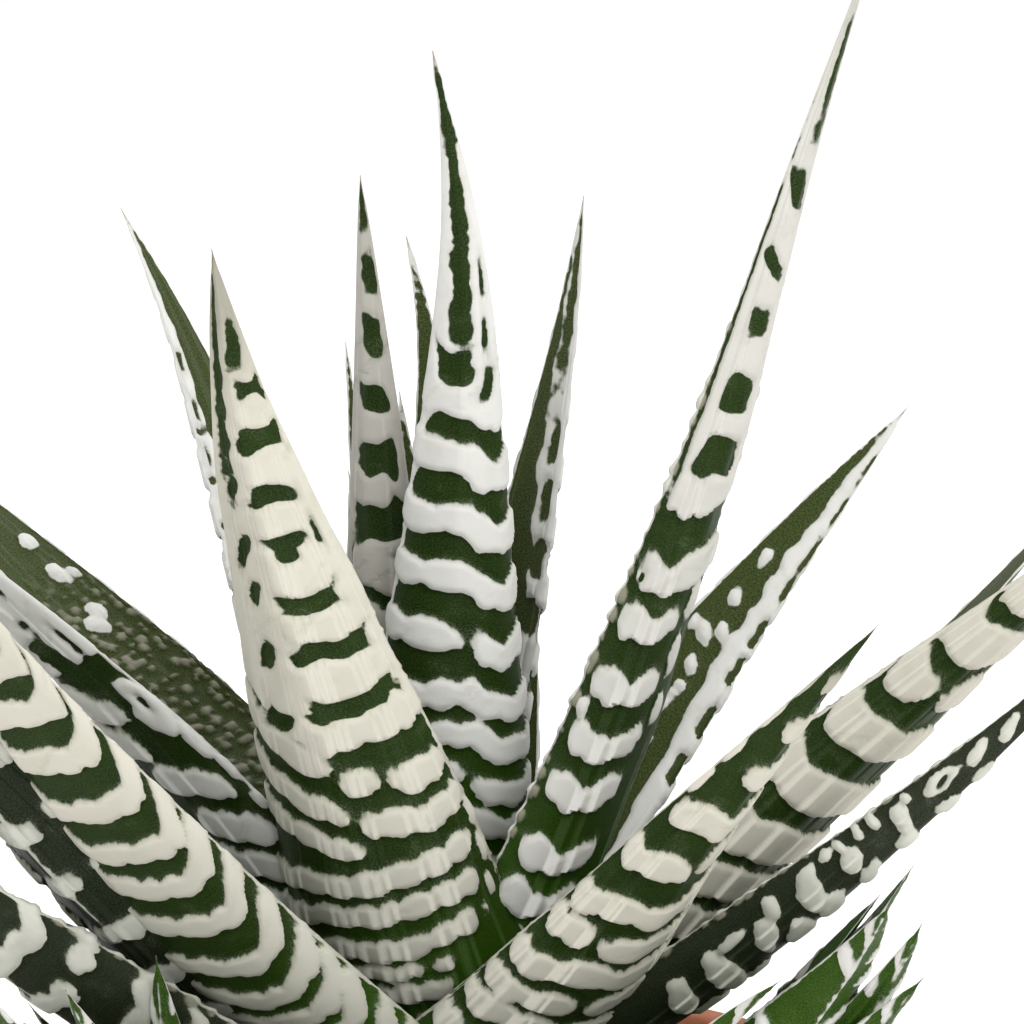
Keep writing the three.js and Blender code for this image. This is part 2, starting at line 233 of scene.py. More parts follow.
@dataclass(frozen=True)
class Blade:
    """One leaf, in millimetres and degrees.

    heading turns from +X towards +Y and lean is measured from the vertical, at the base and at the
    tip. root is the height of the base above the level that the leaf grows from, and start its
    place. sway bends the leaf sideways above the share sway_from of its length, and roll twists it
    about its run.
    """

    heading: float
    lean: Pair
    length: float
    width: float
    root: float
    start: Pair = (0.0, 0.0)
    sway: float = 0.0
    sway_from: float = 0.45
    roll: float = 0.0
    taper: float = 0.95
    marking: Marking = Marking()
    tone: Tone = Tone.WHITE
    detail: float = 1.0

    BACK_DEPTH = 0.64
    BACK_THINNING = 0.15
    BACK_ROUNDNESS = 0.9
    KEEL = 0.75
    TOP_HOLLOW = -0.1
    TOP_CROWN = 0.06
    BASE_NECK = 0.25
    BASE_NECK_LENGTH = 0.07
    WIDTH_GAIN = 1.12
    TIP_WIDTH = 0.3
    TIP_DEPTH = 0.25
    TIP_LENGTH = 2.2

    def directions(self, u: np.ndarray) -> tuple[np.ndarray, np.ndarray, np.ndarray]:
        """Run, upper normal and side of the leaf at shares u of its length.

        Args:
            u: shares of the length, in one row.

        Returns:
            Three arrays of unit vectors, one vector for each share.
        """
        heading = math.radians(self.heading)
        lean = np.radians(mix(self.lean[0], self.lean[1], u))
        sway = np.radians(self.sway * ease(self.sway_from, 1.0, u))[:, None]
        roll = np.radians(self.roll * ease(0.0, 0.5, u))[:, None]
        flat = np.array([math.cos(heading), math.sin(heading), 0.0])
        upright = np.array([0.0, 0.0, 1.0])
        run = np.sin(lean)[:, None] * flat + np.cos(lean)[:, None] * upright
        up = -np.cos(lean)[:, None] * flat + np.sin(lean)[:, None] * upright
        side = np.cross(run, up)
        swayed = run * np.cos(sway) + side * np.sin(sway)
        side = side * np.cos(sway) - run * np.sin(sway)
        rolled = up * np.cos(roll) + side * np.sin(roll)
        return swayed, rolled, side * np.cos(roll) - up * np.sin(roll)

    def midline(self, steps: int, level: float) -> np.ndarray:
        """Points along the leaf's middle, by adding up short straight steps.

        Args:
            steps: number of steps.
            level: height that the root is measured from, in millimetres.

        Returns:
            The points, one more than the steps, in millimetres.
        """
        middles = (np.arange(steps) + 0.5) / steps
        run = self.directions(middles)[0]
        start = np.array([self.start[0], self.start[1], level + self.root])
        return np.vstack([start, start + np.cumsum(run * self.length / steps, axis=0)])

    def half_width(self, u: np.ndarray) -> np.ndarray:
        """Half of the leaf's width at shares u of its length.

        Args:
            u: shares of the length.

        Returns:
            Half widths, in millimetres.
        """
        neck = 1.0 - self.BASE_NECK * np.exp(-u / self.BASE_NECK_LENGTH)
        taper = np.clip(1.0 - u, 0.0, 1.0) ** self.taper
        blunt = np.maximum(0.5 * self.width * neck * taper * self.WIDTH_GAIN, self.TIP_WIDTH)
        return blunt * np.clip((1.0 - u) * self.length / self.TIP_LENGTH, 0.12, 1.0)


@dataclass
class Skin:
    """Fields over a leaf's surface, one value for each place.

    white is the distance inside the white in millimetres and soft is 1 by a band's upper edge.
    relief is the height of the marks, as a share of the full relief. bead is 1 in the middle of a
    bead and below 0 on the dark ground between beads.
    """

    white: np.ndarray
    soft: np.ndarray
    relief: np.ndarray
    bead: np.ndarray

    OUTSIDE = -4.0

    @classmethod
    def bare(cls, shape: tuple[int, ...]) -> "Skin":
        """A skin with no marks on it."""
        return cls(np.full(shape, cls.OUTSIDE), np.zeros(shape), np.zeros(shape), np.zeros(shape))

    def add(self, depth: np.ndarray, relief: np.ndarray, soft: np.ndarray | float, blend: float) -> None:
        """Adds one white mark.

        Args:
            depth: distance inside the mark, in millimetres.
            relief: height of the mark's own surface, as a share of the full relief.
            soft: how soft its edge is, from 0 to 1.
            blend: radius by which it flows into the marks that are there.
        """
        self.soft = np.where(depth > self.white, soft, self.soft)
        self.white = soft_max(self.white, depth, blend)
        self.relief = np.maximum(self.relief, relief)


class Pattern:
    """The marks on one leaf."""

    ARC = 1.25
    RELIEF = 0.42
    STEEP = 0.3
    GENTLE = 0.75
    SWELL = 0.35
    SOFTENING = (-0.08, -0.04, 0.0, 0.04, 0.08)
    STEEPEST = 1.45
    MEAN_LOBE = 0.4
    NUDGE = 0.03
    CORNER = 0.9
    BLEND = 0.3
    DRIFT_LENGTH = 9.0
    WOBBLE_LENGTH = 2.2
    FRINGE_LENGTH = 0.9
    LUMP_LENGTH = 1.5
    SWELL_LENGTH = 14.0
    BEAD_CELL = 1.1

    def __init__(self, blade: Blade, rng: np.random.Generator) -> None:
        """Draws what differs from leaf to leaf.

        Args:
            blade: the leaf.
            rng: source of the random numbers.
        """
        self.blade = blade
        self.mark = blade.marking
        self.rng = rng
        self.drift = Ripple(rng, self.DRIFT_LENGTH)
        self.wobble = Ripple(rng, self.WOBBLE_LENGTH)
        self.fringe = Ripple(rng, self.FRINGE_LENGTH)
        self.lumps = Ripple(rng, self.LUMP_LENGTH)
        self.swell = Ripple(rng, self.SWELL_LENGTH)

    def half_at(self, place: float) -> float:
        """Half of the leaf's width at one place, in millimetres from its base."""
        return float(self.blade.half_width(np.array([place / self.blade.length]))[0])

    def rows(self) -> list[Band]:
        """The bands that are set, and more below and above them at the leaf's pitch.

        Returns:
            The bands, from the base to the solid white.
        """
        mark, length = self.mark, self.blade.length
        bands = list(mark.bands)
        low = bands[0].along if bands else mark.first
        while bands and low - mark.pitch[0] > mark.first:
            low -= mark.pitch[0]
            bands.insert(0, Band(low, bands[0].skew))
        place = max(band.along for band in bands) if bands else low - mark.pitch[0]
        skew = bands[-1].skew if bands else 0.0
        while place < min(length, mark.solid):
            place += mix(mark.pitch[0], mark.pitch[1], place / length) * self.rng.uniform(0.92, 1.08)
            bands.append(Band(place, skew))
        return [band for band in bands if band.along < mark.solid]

    def pieces(self, band: Band) -> list[Pair]:
        """Where a band is cut, as the ends of its pieces, in shares across the back.

        Args:
            band: the band.

        Returns:
            The two ends of each piece.
        """
        mark, rng = self.mark, self.rng
        u = band.along / self.blade.length
        grown = mark.spread * float(ease(0.15, 0.6, u))
        low, high = band.ends or (-mark.sides[0] - grown, mark.sides[1] + grown)
        count = int(float(mix(mark.cuts[0], mark.cuts[1], ease(0.1, 0.6, u))) + rng.uniform(0.0, 1.0))
        step = (high - low) / (count + 1.0)
        cuts = [low + step * (number + 1.0 + rng.uniform(-0.3, 0.3)) for number in range(count)]
        ends = [low, *(cuts if band.cuts is None else band.cuts), high]
        return list(zip(ends[:-1], ends[1:]))

    def rise(self, share: np.ndarray, half: float, skew: float) -> np.ndarray:
        """How far a band lies above its place on the keel, in millimetres.

        Args:
            share: place across the back.
            half: half of the leaf's width at the band, in millimetres.
            skew: rise from the keel to the margin above 0, in millimetres.

        Returns:
            The rise at each place.
        """
        lift = self.mark.sag * half * np.abs(share) ** 2.2 + skew * share
        if self.mark.wave:
            places, heights = zip(*self.mark.wave)
            for step in self.SOFTENING:
                lift = lift + np.interp(share + step, places, heights) / len(self.SOFTENING)
        return lift

    def lobes(self, arc: np.ndarray, reach: float) -> np.ndarray:
        """Bulges of one edge of a band: 1 in the middle of a bulge and less between two.

        Args:
            arc: distance from the keel over the surface, in millimetres.
            reach: distance from the keel to the margin at the band, in millimetres.

        Returns:
            How far out the edge bulges at each place.
        """
        best = np.full(arc.shape, -0.6)
        edge = -1.4 * reach - self.rng.uniform(0.0, self.mark.lobe)
        while edge < 1.4 * reach:
            wide = self.mark.lobe * self.rng.uniform(0.55, 1.45)
            bulge = self.rng.uniform(0.45, 1.0) - ((arc - edge - 0.5 * wide) / (0.5 * wide)) ** 2
            best = soft_max(best, bulge, 0.35)
            edge += wide
        return best

    def back(self, along: np.ndarray, share: np.ndarray, half: np.ndarray) -> Skin:
        """Bands on the back.

        Args:
            along: distance from the base, in millimetres.
            share: place across the back, -1 and 1 at the margins and 0 on the keel.
            half: half of the leaf's width there, in millimetres.

        Returns:
            The fields over the back.
        """
        skin = Skin.bare(along.shape)
        reach = half * self.ARC
        arc = share * reach
        for band in self.rows():
            self.add_band(skin, along, share, arc, reach, band)
        self.strips(skin, along, share, reach)
        for spot in self.mark.pads:
            self.add_spot(skin, spot, along, share, self.ARC)
        if self.mark.solid < self.blade.length:
            self.fill(skin, along, share, arc)
        self.cut(skin, self.mark.windows, along, share, self.ARC)
        return skin

    def add_band(self, skin: Skin, along: np.ndarray, share: np.ndarray, arc: np.ndarray,
                 reach: np.ndarray, band: Band) -> None:
        """Adds one cross band, in pieces.

        Args:
            skin: fields that the band is added to.
            along: distance from the base, in millimetres.
            share: place across the back.
            arc: distance from the keel over the surface, in millimetres.
            reach: distance from the keel to the margin, in millimetres.
            band: the band.
        """
        mark, rng = self.mark, self.rng
        middle = band.along
        place = middle / self.blade.length
        half = self.half_at(middle)
        small = min(1.0, half / 5.0)
        pitch = float(mix(mark.pitch[0], mark.pitch[1], place))
        thick = band.thick or 0.5 * pitch * float(mix(mark.share[0], mark.share[1], ease(0.15, 0.95, place)))
        thick *= rng.uniform(0.94, 1.06)
        lobe_depth = mark.lobe_depth * small
        below_lobes = lobe_depth * (self.lobes(arc, half * self.ARC) - self.MEAN_LOBE)
        above_lobes = lobe_depth * (self.lobes(arc, half * self.ARC) - self.MEAN_LOBE)
        high = self.rise(share + self.NUDGE, half, band.skew)
        low = self.rise(share - self.NUDGE, half, band.skew)
        slope = (high - low) / (2.0 * self.NUDGE * half * self.ARC)
        tilt = np.minimum(np.sqrt(1.0 + slope * slope), self.STEEPEST)
        waver = mark.waver * small * self.drift.at(arc * 1.3, along * 0.0 + middle)
        line = middle + 0.5 * (high + low) + waver
        notch = mark.notch * small * np.clip(1.0 - np.abs(share - mark.notch_at) / 0.3, 0.0, 1.0)
        rough = 0.05 * self.fringe.at(arc, along)
        pieces = self.pieces(band)
        for number, (left, right) in enumerate(pieces):
            if rng.uniform() < mark.loss:
                continue
            away = (along - line - rng.normal(0.0, 0.05) * pitch) / tilt
            below = away + thick + below_lobes
            above = thick + above_lobes - notch - away
            gap_left = mark.gap if number > 0 else 0.0
            gap_right = mark.gap if number < len(pieces) - 1 else 0.0
            beside = np.minimum(arc - left * reach - gap_left, right * reach - gap_right - arc)
            depth = soft_min(soft_min(below, above, self.CORNER), beside, 1.2 * thick)
            core = np.minimum(np.minimum(away + thick, thick - notch - away), beside)
            relief = pillow(core + self.SWELL, self.GENTLE) * pillow(depth, self.STEEP)
            skin.add(depth + rough, relief, ease(-0.6, 0.6, below - above), self.BLEND)

    def fill(self, skin: Skin, along: np.ndarray, share: np.ndarray, arc: np.ndarray) -> None:
        """Makes the leaf white above the last band.

        Args:
            skin: fields that the white is added to.
            along: distance from the base, in millimetres.
            share: place across the back.
            arc: distance from the keel over the surface, in millimetres.
        """
        mark = self.mark
        half = self.half_at(mark.solid)
        lobes = mark.lobe_depth * (self.lobes(arc, half * self.ARC) - self.MEAN_LOBE)
        bend = mark.bend[0] * np.maximum(-share, 0.0) + mark.bend[1] * np.maximum(share, 0.0)
        inside = along - mark.solid - bend - self.rise(share, half, 0.0) + lobes
        skin.add(inside, 0.9 * pillow(inside, self.STEEP), 0.2, self.BLEND)

    def add_spot(self, skin: Skin, spot: Spot, along: np.ndarray, share: np.ndarray, arc: float) -> None:
        """Adds one rounded white mark.

        Args:
            skin: fields that the mark is added to.
            spot: the mark.
            along: distance from the base, in millimetres.
            share: place across the face, -1 and 1 at the margins.
            arc: how much longer the face is across than the leaf is wide.
        """
        reach = self.half_at(spot.along) * arc
        depth = spot.depth(along, share, reach, self.wobble.at(along, share * reach))
        skin.add(depth, pillow(depth, 0.45), 0.15, self.BLEND)

    def cut(self, skin: Skin, spots: tuple[Spot, ...], along: np.ndarray, share: np.ndarray,
            arc: float) -> None:
        """Opens green windows in the white.

        Args:
            skin: fields that are cut.
            spots: the windows.
            along: distance from the base, in millimetres.
            share: place across the face, -1 and 1 at the margins.
            arc: how much longer the face is across than the leaf is wide.
        """
        for spot in spots:
            reach = self.half_at(spot.along) * arc
            wobble = 1.5 * self.wobble.at(along, share * reach)
            inside = spot.depth(along, share, reach, wobble, Spot.SQUARE)
            skin.white = soft_min(skin.white, -inside, 0.2)
            skin.relief = skin.relief * pillow(-inside, 0.4)

    def strips(self, skin: Skin, along: np.ndarray, share: np.ndarray, reach: np.ndarray) -> None:
        """Adds the white strips along the margins and the keel.

        Args:
            skin: fields that the strips are added to.
            along: distance from the base, in millimetres.
            share: place across the back.
            reach: distance from the keel to the margin, in millimetres.
        """
        mark = self.mark
        u = along / self.blade.length
        wander = 0.35 * self.drift.at(along * 2.5, share) + 0.2 * self.wobble.at(along, share)
        width = mix(mark.margin[0], mark.margin[1], ease(0.3, 0.9, u)) * np.minimum(1.0, reach / 2.5)
        width = width * np.where(share < 0.0, mark.edges[0], mark.edges[1])
        margin = width * (1.0 + wander) - (1.0 - np.abs(share)) * reach
        skin.add(margin, 0.4 * pillow(margin, 0.35), 0.2, self.BLEND)
        width = mix(mark.keel[0], mark.keel[1], ease(0.35, 0.9, u)) * np.minimum(1.0, reach / 3.8)
        keel = width * (1.0 + 1.2 * wander) - np.abs(share) * reach
        keel = np.where(width > 0.02, keel, Skin.OUTSIDE)
        skin.add(keel, 0.5 * pillow(keel, 0.5), 0.4, 0.4)

    def upper(self, along: np.ndarray, share: np.ndarray, half: np.ndarray) -> Skin:
        """Spots, beads, the pale margin and the hem of the upper face.

        Args:
            along: distance from the base, in millimetres.
            share: place across the face, -1 and 1 at the margins.
            half: half of the leaf's width there, in millimetres.

        Returns:
            The fields over the upper face.
        """
        mark, rng = self.mark, self.rng
        skin = Skin.bare(along.shape)
        across = share * half
        edge = (1.0 - np.abs(share)) * half
        line = 0.22 + 0.08 * self.fringe.at(along, share) - edge
        skin.add(line, 0.3 * pillow(line, 0.3), 0.2, 0.2)
        for spot in mark.face_spots:
            self.add_spot(skin, spot, along, share, 1.0)
        for _ in range(mark.spots):
            place = self.blade.length * rng.uniform(0.2, 0.8)
            for _ in range(rng.integers(1, 3)):
                spot = Spot(place + rng.normal(0.0, 0.8), rng.uniform(-0.75, 0.75),
                            rng.uniform(0.5, 1.0), rng.uniform(0.32, 0.5))
                self.add_spot(skin, spot, along, share, 1.0)
        if mark.hem[0] < 1.0:
            middle = np.zeros(across.shape)
            wander = 0.22 * self.wobble.at(along * 0.6, middle) + 0.15 * self.drift.at(along, middle)
            edge_share = mix(mark.hem[0], mark.hem[1], along / self.blade.length)
            hem = mark.hem_side * across - edge_share * half + wander * np.minimum(1.0, half / 3.0)
            skin.add(hem, pillow(hem, 0.5), 0.3, self.BLEND)
            self.cut(skin, mark.hem_windows, along, share, 1.0)
        if mark.beads > 0.0:
            self.add_beads(skin, along, across, edge)
        return skin

    def add_beads(self, skin: Skin, along: np.ndarray, across: np.ndarray, edge: np.ndarray) -> None:
        """Adds small pale beads on a dark ground, closer together near the base.

        Args:
            skin: fields that the beads are added to.
            along: distance from the base, in millimetres.
            across: distance from the leaf's middle, in millimetres.
            edge: distance from the nearer margin, in millimetres.
        """
        cell, size, middle = self.BEAD_CELL, 160, 60
        rng = np.random.default_rng(round(self.blade.length * 10.0))
        shift_x, shift_y = rng.uniform(-0.35, 0.35, (2, size, size)) * cell
        radius = rng.uniform(0.18, 0.5, (size, size))
        best = np.zeros(along.shape)
        column = np.floor(along / cell).astype(int)
        row = np.floor(across / cell + middle).astype(int)
        for step_x in (-1, 0, 1):
            for step_y in (-1, 0, 1):
                i = np.clip(column + step_x, 0, size - 1)
                j = np.clip(row + step_y, 0, size - 1)
                x = (i + 0.5) * cell + shift_x[i, j]
                y = (j + 0.5 - middle) * cell + shift_y[i, j]
                span = np.hypot((along - x) / 1.25, across - y) / radius[i, j]
                best = np.maximum(best, np.sqrt(np.clip(1.0 - span * span, 0.0, 1.0)))
        reach = self.blade.length * self.mark.beads
        near = 1.0 - ease(0.7 * reach, reach, along + 2.0 * self.drift.at(along, across))
        keep = near * ease(0.2, 0.9, edge)
        skin.bead = np.where(best > 0.05, best * keep, -near)
        skin.relief = np.maximum(skin.relief, 0.95 * best * keep)


class LeafMesh:
    """Makes a leaf's fine surface, with its marks as relief and as attributes."""

    STEP = 0.34
    BACK_SIDES = 0.62
    UPPER_SIDES = 0.4
    RAGGED = 0.06
    LUMPS = 0.02
    SWELL = 0.12
    TOOTH = 0.8

    def __init__(self, blade: Blade, level: float, seed: int) -> None:
        """Sets the leaf and the fineness of its mesh.

        Args:
            blade: the leaf.
            level: height that its root is measured from, in millimetres.
            seed: number that its random draws start from.
        """
        self.blade = blade
        self.level = level
        self.rng = np.random.default_rng(seed)
        step = self.STEP / blade.detail
        self.rings = int(blade.length / step)
        self.back_sides = 2 * max(int(blade.width * self.BACK_SIDES / step), 5)
        upper_step = step if blade.marking.beads or blade.detail >= 1.0 else 2.0 * step
        self.upper_sides = 2 * max(int(blade.width * self.UPPER_SIDES / upper_step), 3)
        self.sides = self.back_sides + self.upper_sides

    def angles(self) -> np.ndarray:
        """Section angle of each side: 0 on the upper middle, a quarter turn at each margin.

        Returns:
            The angles, in radians, in the order of the sides.
        """
        turn = np.arange(self.sides) / self.sides
        away = np.minimum(turn, 1.0 - turn)
        margin = self.upper_sides / (2.0 * self.sides)
        upper = 0.25 * away / margin
        back = 0.25 + 0.25 * (away - margin) / (0.5 - margin)
        angle = np.where(away <= margin, upper, back)
        return 2.0 * math.pi * np.where(turn <= 0.5, angle, 1.0 - angle)

    def surface(self) -> tuple[np.ndarray, dict[str, np.ndarray]]:
        """Places of the mesh's points and the fields over them.

        Returns:
            Points by ring and side, in millimetres, and each attribute by its name.
        """
        blade = self.blade
        u = np.linspace(0.0, 1.0, self.rings + 1)
        angle = self.angles()
        across, height = np.sin(angle), np.cos(angle)
        half = blade.half_width(u)[:, None]
        upper_share = ease(0.5, 1.0, u)[:, None]
        keel = blade.KEEL * ease(0.2, 0.7, u)[:, None]
        thin = 1.0 - blade.BACK_THINNING * upper_share
        depth = np.maximum(half * blade.BACK_DEPTH * thin, np.minimum(half, blade.TIP_DEPTH))
        section = mix(np.abs(height) ** blade.BACK_ROUNDNESS, 1.0 - np.abs(across), keel)
        crown = half * mix(blade.TOP_HOLLOW, blade.TOP_CROWN, ease(0.35, 0.9, u))[:, None]
        on_top = np.broadcast_to(height > 0.0, section.shape)
        lift = np.where(on_top, height * height * crown, -section * depth)
        _, up, side = blade.directions(u)
        middle = blade.midline(self.rings, self.level)
        points = (middle[:, None] + side[:, None] * (across * half)[..., None]
                  + up[:, None] * lift[..., None])
        from_top = np.minimum(angle, 2.0 * math.pi - angle) / (0.5 * math.pi)
        share = np.where(from_top > 1.0, 2.0 - from_top, from_top) * np.sign(across)
        share = np.broadcast_to(share, section.shape)
        along = np.broadcast_to((u * blade.length)[:, None], section.shape)
        wide = np.broadcast_to(half, section.shape)
        pattern = Pattern(blade, self.rng)
        back = pattern.back(along, share, wide)
        upper = pattern.upper(along, share, wide)
        fields = {name: np.where(on_top, getattr(upper, name), getattr(back, name))
                  for name in ("white", "soft", "relief", "bead")}
        across_face = share * wide
        fields["white"] = fields["white"] + self.RAGGED * pattern.fringe.at(along, across_face)
        lumps = self.LUMPS * pattern.lumps.at(along, across_face) * pillow(fields["white"], 0.8)
        body = self.SWELL * pattern.swell.at(along, across_face) * ease(0.0, 0.2, u)[:, None]
        scale = pattern.RELIEF * np.minimum(1.0, wide / 3.5)
        rise = scale * (fields["relief"] + lumps) + body * np.minimum(1.0, wide / 5.0)
        tooth = self.teeth(along, share, wide)
        rise = rise + self.TOOTH * tooth
        fields["bead"] = np.maximum(fields["bead"], ease(0.05, 0.3, tooth))
        points = points + self.normals(points) * (rise * ease(1.0, 0.985, u)[:, None])[..., None]
        fields["map_x"] = np.where(on_top, across_face, across_face * pattern.ARC)
        fields["map_y"] = along
        fields["along"] = along / blade.length
        fields["upper"] = on_top * (1.0 - ease(0.9, 1.0, np.abs(share)))
        return points, fields

    def teeth(self, along: np.ndarray, share: np.ndarray, half: np.ndarray) -> np.ndarray:
        """Small beads along both margins.

        Args:
            along: distance from the base, in millimetres.
            share: place across the face, -1 and 1 at the margins.
            half: half of the leaf's width, in millimetres.

        Returns:
            Distance inside the beads, in millimetres, 0 outside them.
        """
        size = self.blade.marking.teeth
        if size <= 0.0:
            return np.zeros(along.shape)
        spacing = 1.1 + 0.9 * size
        count = int(self.blade.length / spacing) + 3
        best = np.zeros(along.shape)
        for edge in (-1.0, 1.0):
            shift = self.rng.uniform(-0.35, 0.35, count) * spacing
            scale = self.rng.uniform(0.3, 1.0, count) * size
            number = np.clip(np.round(along / spacing).astype(int), 0, count - 1)
            away = (1.0 - share * edge) * half
            reach = np.hypot((along - number * spacing - shift[number]) / 1.5, away)
            best = np.maximum(best, scale[number] * np.minimum(1.0, half / 3.0) - reach)
        return best * (1.0 - ease(0.5, 0.8, along / self.blade.length))

    @staticmethod
    def normals(points: np.ndarray) -> np.ndarray:
        """Unit normals of a tube of points, pointing out of it.

        Args:
            points: places by ring and side.

        Returns:
            One normal for each point.
        """
        along = np.gradient(points, axis=0)
        around = np.roll(points, -1, axis=1) - np.roll(points, 1, axis=1)
        normal = np.cross(around, along)
        return normal / np.maximum(np.linalg.norm(normal, axis=2, keepdims=True), 1e-9)

    def grow(self, mesh: bpy.types.Mesh) -> None:
        """Fills a mesh with the leaf, in metres.

        Args:
            mesh: the empty mesh.
        """
        points, fields = self.surface()
        bm = bmesh.new()
        bmesh.ops.create_cone(bm, cap_ends=True, cap_tris=True, segments=self.sides,
                              radius1=1.0, radius2=1.0, depth=1.0)
        walls = [edge for edge in bm.edges if abs(edge.verts[0].co.z - edge.verts[1].co.z) > 0.5]
        bmesh.ops.subdivide_edges(bm, edges=walls, cuts=self.rings - 1, use_grid_fill=True)
        bm.to_mesh(mesh)
        bm.free()
        place = np.empty(3 * len(mesh.vertices))
        mesh.vertices.foreach_get("co", place)
        place = place.reshape(-1, 3)
        ring = np.clip(np.round((place[:, 2] + 0.5) * self.rings).astype(int), 0, self.rings)
        turn = np.arctan2(place[:, 1], place[:, 0]) / (2.0 * math.pi)
        side = np.round(turn * self.sides).astype(int) % self.sides
        capped = np.hypot(place[:, 0], place[:, 1]) < 0.5
        moved = points[ring, side]
        centres = points.mean(axis=1)
        moved[capped] = centres[ring[capped]]
        mesh.vertices.foreach_set("co", (moved * MM).ravel())
        for name, values in fields.items():
            layer = mesh.attributes.new(name, "FLOAT", "POINT")
            layer.data.foreach_set("value", values[ring, side].astype(np.float32))
        mesh.shade_smooth()
        mesh.update()


class Field:
    """A value in a material: wraps a socket, so that shader maths is written as expressions."""

    def __init__(self, finish: "Nodes", socket: bpy.types.NodeSocket) -> None:
        """Keeps the material's nodes and the socket."""
        self.finish = finish
        self.socket = socket

    def _math(self, operation: str, *values: "Field | float") -> "Field":
        """One Math node on this value and others."""
        return self.finish.math(operation, self, *values)

    def __add__(self, other: "Field | float") -> "Field":
        """Sum."""
        return self._math("ADD", other)

    __radd__ = __add__

    def __sub__(self, other: "Field | float") -> "Field":
        """Difference."""
        return self._math("SUBTRACT", other)

    def __rsub__(self, other: float) -> "Field":
        """Number less this value."""
        return self.finish.math("SUBTRACT", other, self)

    def __mul__(self, other: "Field | float") -> "Field":
        """Product."""
        return self._math("MULTIPLY", other)

    __rmul__ = __mul__

    def step(self, low: "Field | float", high: "Field | float") -> "Field":
        """Smooth step from 0 at low to 1 at high.

        Args:
            low: value where the step starts.
            high: value where it ends, which may be below low.

        Returns:
            The step as a field.
        """
        inputs = {"Value": self, "From Min": low, "From Max": high, "To Min": 0.0, "To Max": 1.0}
        settings = {"interpolation_type": "SMOOTHSTEP"}
        return self.finish.node("ShaderNodeMapRange", settings, inputs, "Result")


class Nodes:
    """Builds one material's nodes."""

    def __init__(self, name: str) -> None:
        """Makes an empty material.

        Args:
            name: the material's name.
        """
        self.material = bpy.data.materials.new(name)
        self.material.use_nodes = True
        self.tree = self.material.node_tree
        self.tree.nodes.clear()

    def node(self, kind: str, settings: dict, inputs: dict, output: str | int | None = None) -> Field:
        """Adds a node.

        Args:
            kind: the node's type.
            settings: its properties, which are set first.
            inputs: values or fields of its sockets, by name or number.
            output: the socket that the field wraps, or none for the first.

        Returns:
            The output as a field.
        """
        node = self.tree.nodes.new(kind)
        for name, value in settings.items():
            setattr(node, name, value)
        for name, value in inputs.items():
            socket = node.inputs[name]
            if isinstance(value, Field):
                self.tree.links.new(value.socket, socket)
            else:
                socket.default_value = value
        return Field(self, node.outputs[output if output is not None else 0])

    def math(self, operation: str, *values: Field | float) -> Field:
        """Adds a Math node."""
        inputs = dict(enumerate(values))
        return self.node("ShaderNodeMath", {"operation": operation}, inputs)

    def attribute(self, name: str) -> Field:
        """Value of one of the mesh's attributes."""
        return self.node("ShaderNodeAttribute", {"attribute_name": name}, {}, "Fac")

    def vector(self, x: Field | float, y: Field | float, z: Field | float) -> Field:
        """Vector put together from three values."""
        return self.node("ShaderNodeCombineXYZ", {}, {0: x, 1: y, 2: z})

    def place(self) -> Field:
        """Object coordinates, in metres."""
        return self.node("ShaderNodeTexCoord", {}, {}, "Object")

    def noise(self, place: Field, scale: float, detail: float = 2.0, rough: float = 0.5) -> Field:
        """Noise between 0 and 1 at a place."""
        inputs = {"Vector": place, "Scale": scale, "Detail": detail, "Roughness": rough}
        return self.node("ShaderNodeTexNoise", {}, inputs, "Fac")

    def cells(self, place: Field, scale: float) -> Field:
        """Distance to the middle of the nearest cell."""
        return self.node("ShaderNodeTexVoronoi", {}, {"Vector": place, "Scale": scale}, "Distance")

    def blend(self, share: Field, low: Field | Colour, high: Field | Colour) -> Field:
        """Colour that lies a share of the way from low to high.

        Args:
            share: the share, from 0 to 1.
            low: colour at 0.
            high: colour at 1.

        Returns:
            The colour as a field.
        """
        node = self.tree.nodes.new("ShaderNodeMix")
        node.data_type = "RGBA"
        self.tree.links.new(share.socket, node.inputs[0])
        for socket, value in ((node.inputs[6], low), (node.inputs[7], high)):
            if isinstance(value, Field):
                self.tree.links.new(value.socket, socket)
            else:
                socket.default_value = (*value, 1.0)
        return Field(self, node.outputs[2])

    def bump(self, height: Field, distance: float, strength: float) -> Field:
        """Normal that follows a height, which is in units of distance, in metres."""
        inputs = {"Height": height, "Distance": distance, "Strength": strength}
        return self.node("ShaderNodeBump", {}, inputs, "Normal")

    def surface(self, colour: Field, roughness: Field | float, normal: Field, **fixed: float) -> None:
        """Adds the shader and the output.

        Args:
            colour: base colour.
            roughness: roughness.
            normal: surface normal.
            fixed: values of other sockets, with spaces in their names written as underscores.
        """
        shader = self.tree.nodes.new("ShaderNodeBsdfPrincipled")
        self.tree.links.new(colour.socket, shader.inputs["Base Color"])
        self.tree.links.new(normal.socket, shader.inputs["Normal"])
        if isinstance(roughness, Field):
            self.tree.links.new(roughness.socket, shader.inputs["Roughness"])
        else:
            shader.inputs["Roughness"].default_value = roughness
        for name, value in fixed.items():
            shader.inputs[name.replace("_", " ")].default_value = value
        output = self.tree.nodes.new("ShaderNodeOutputMaterial")
        self.tree.links.new(shader.outputs[0], output.inputs["Surface"])


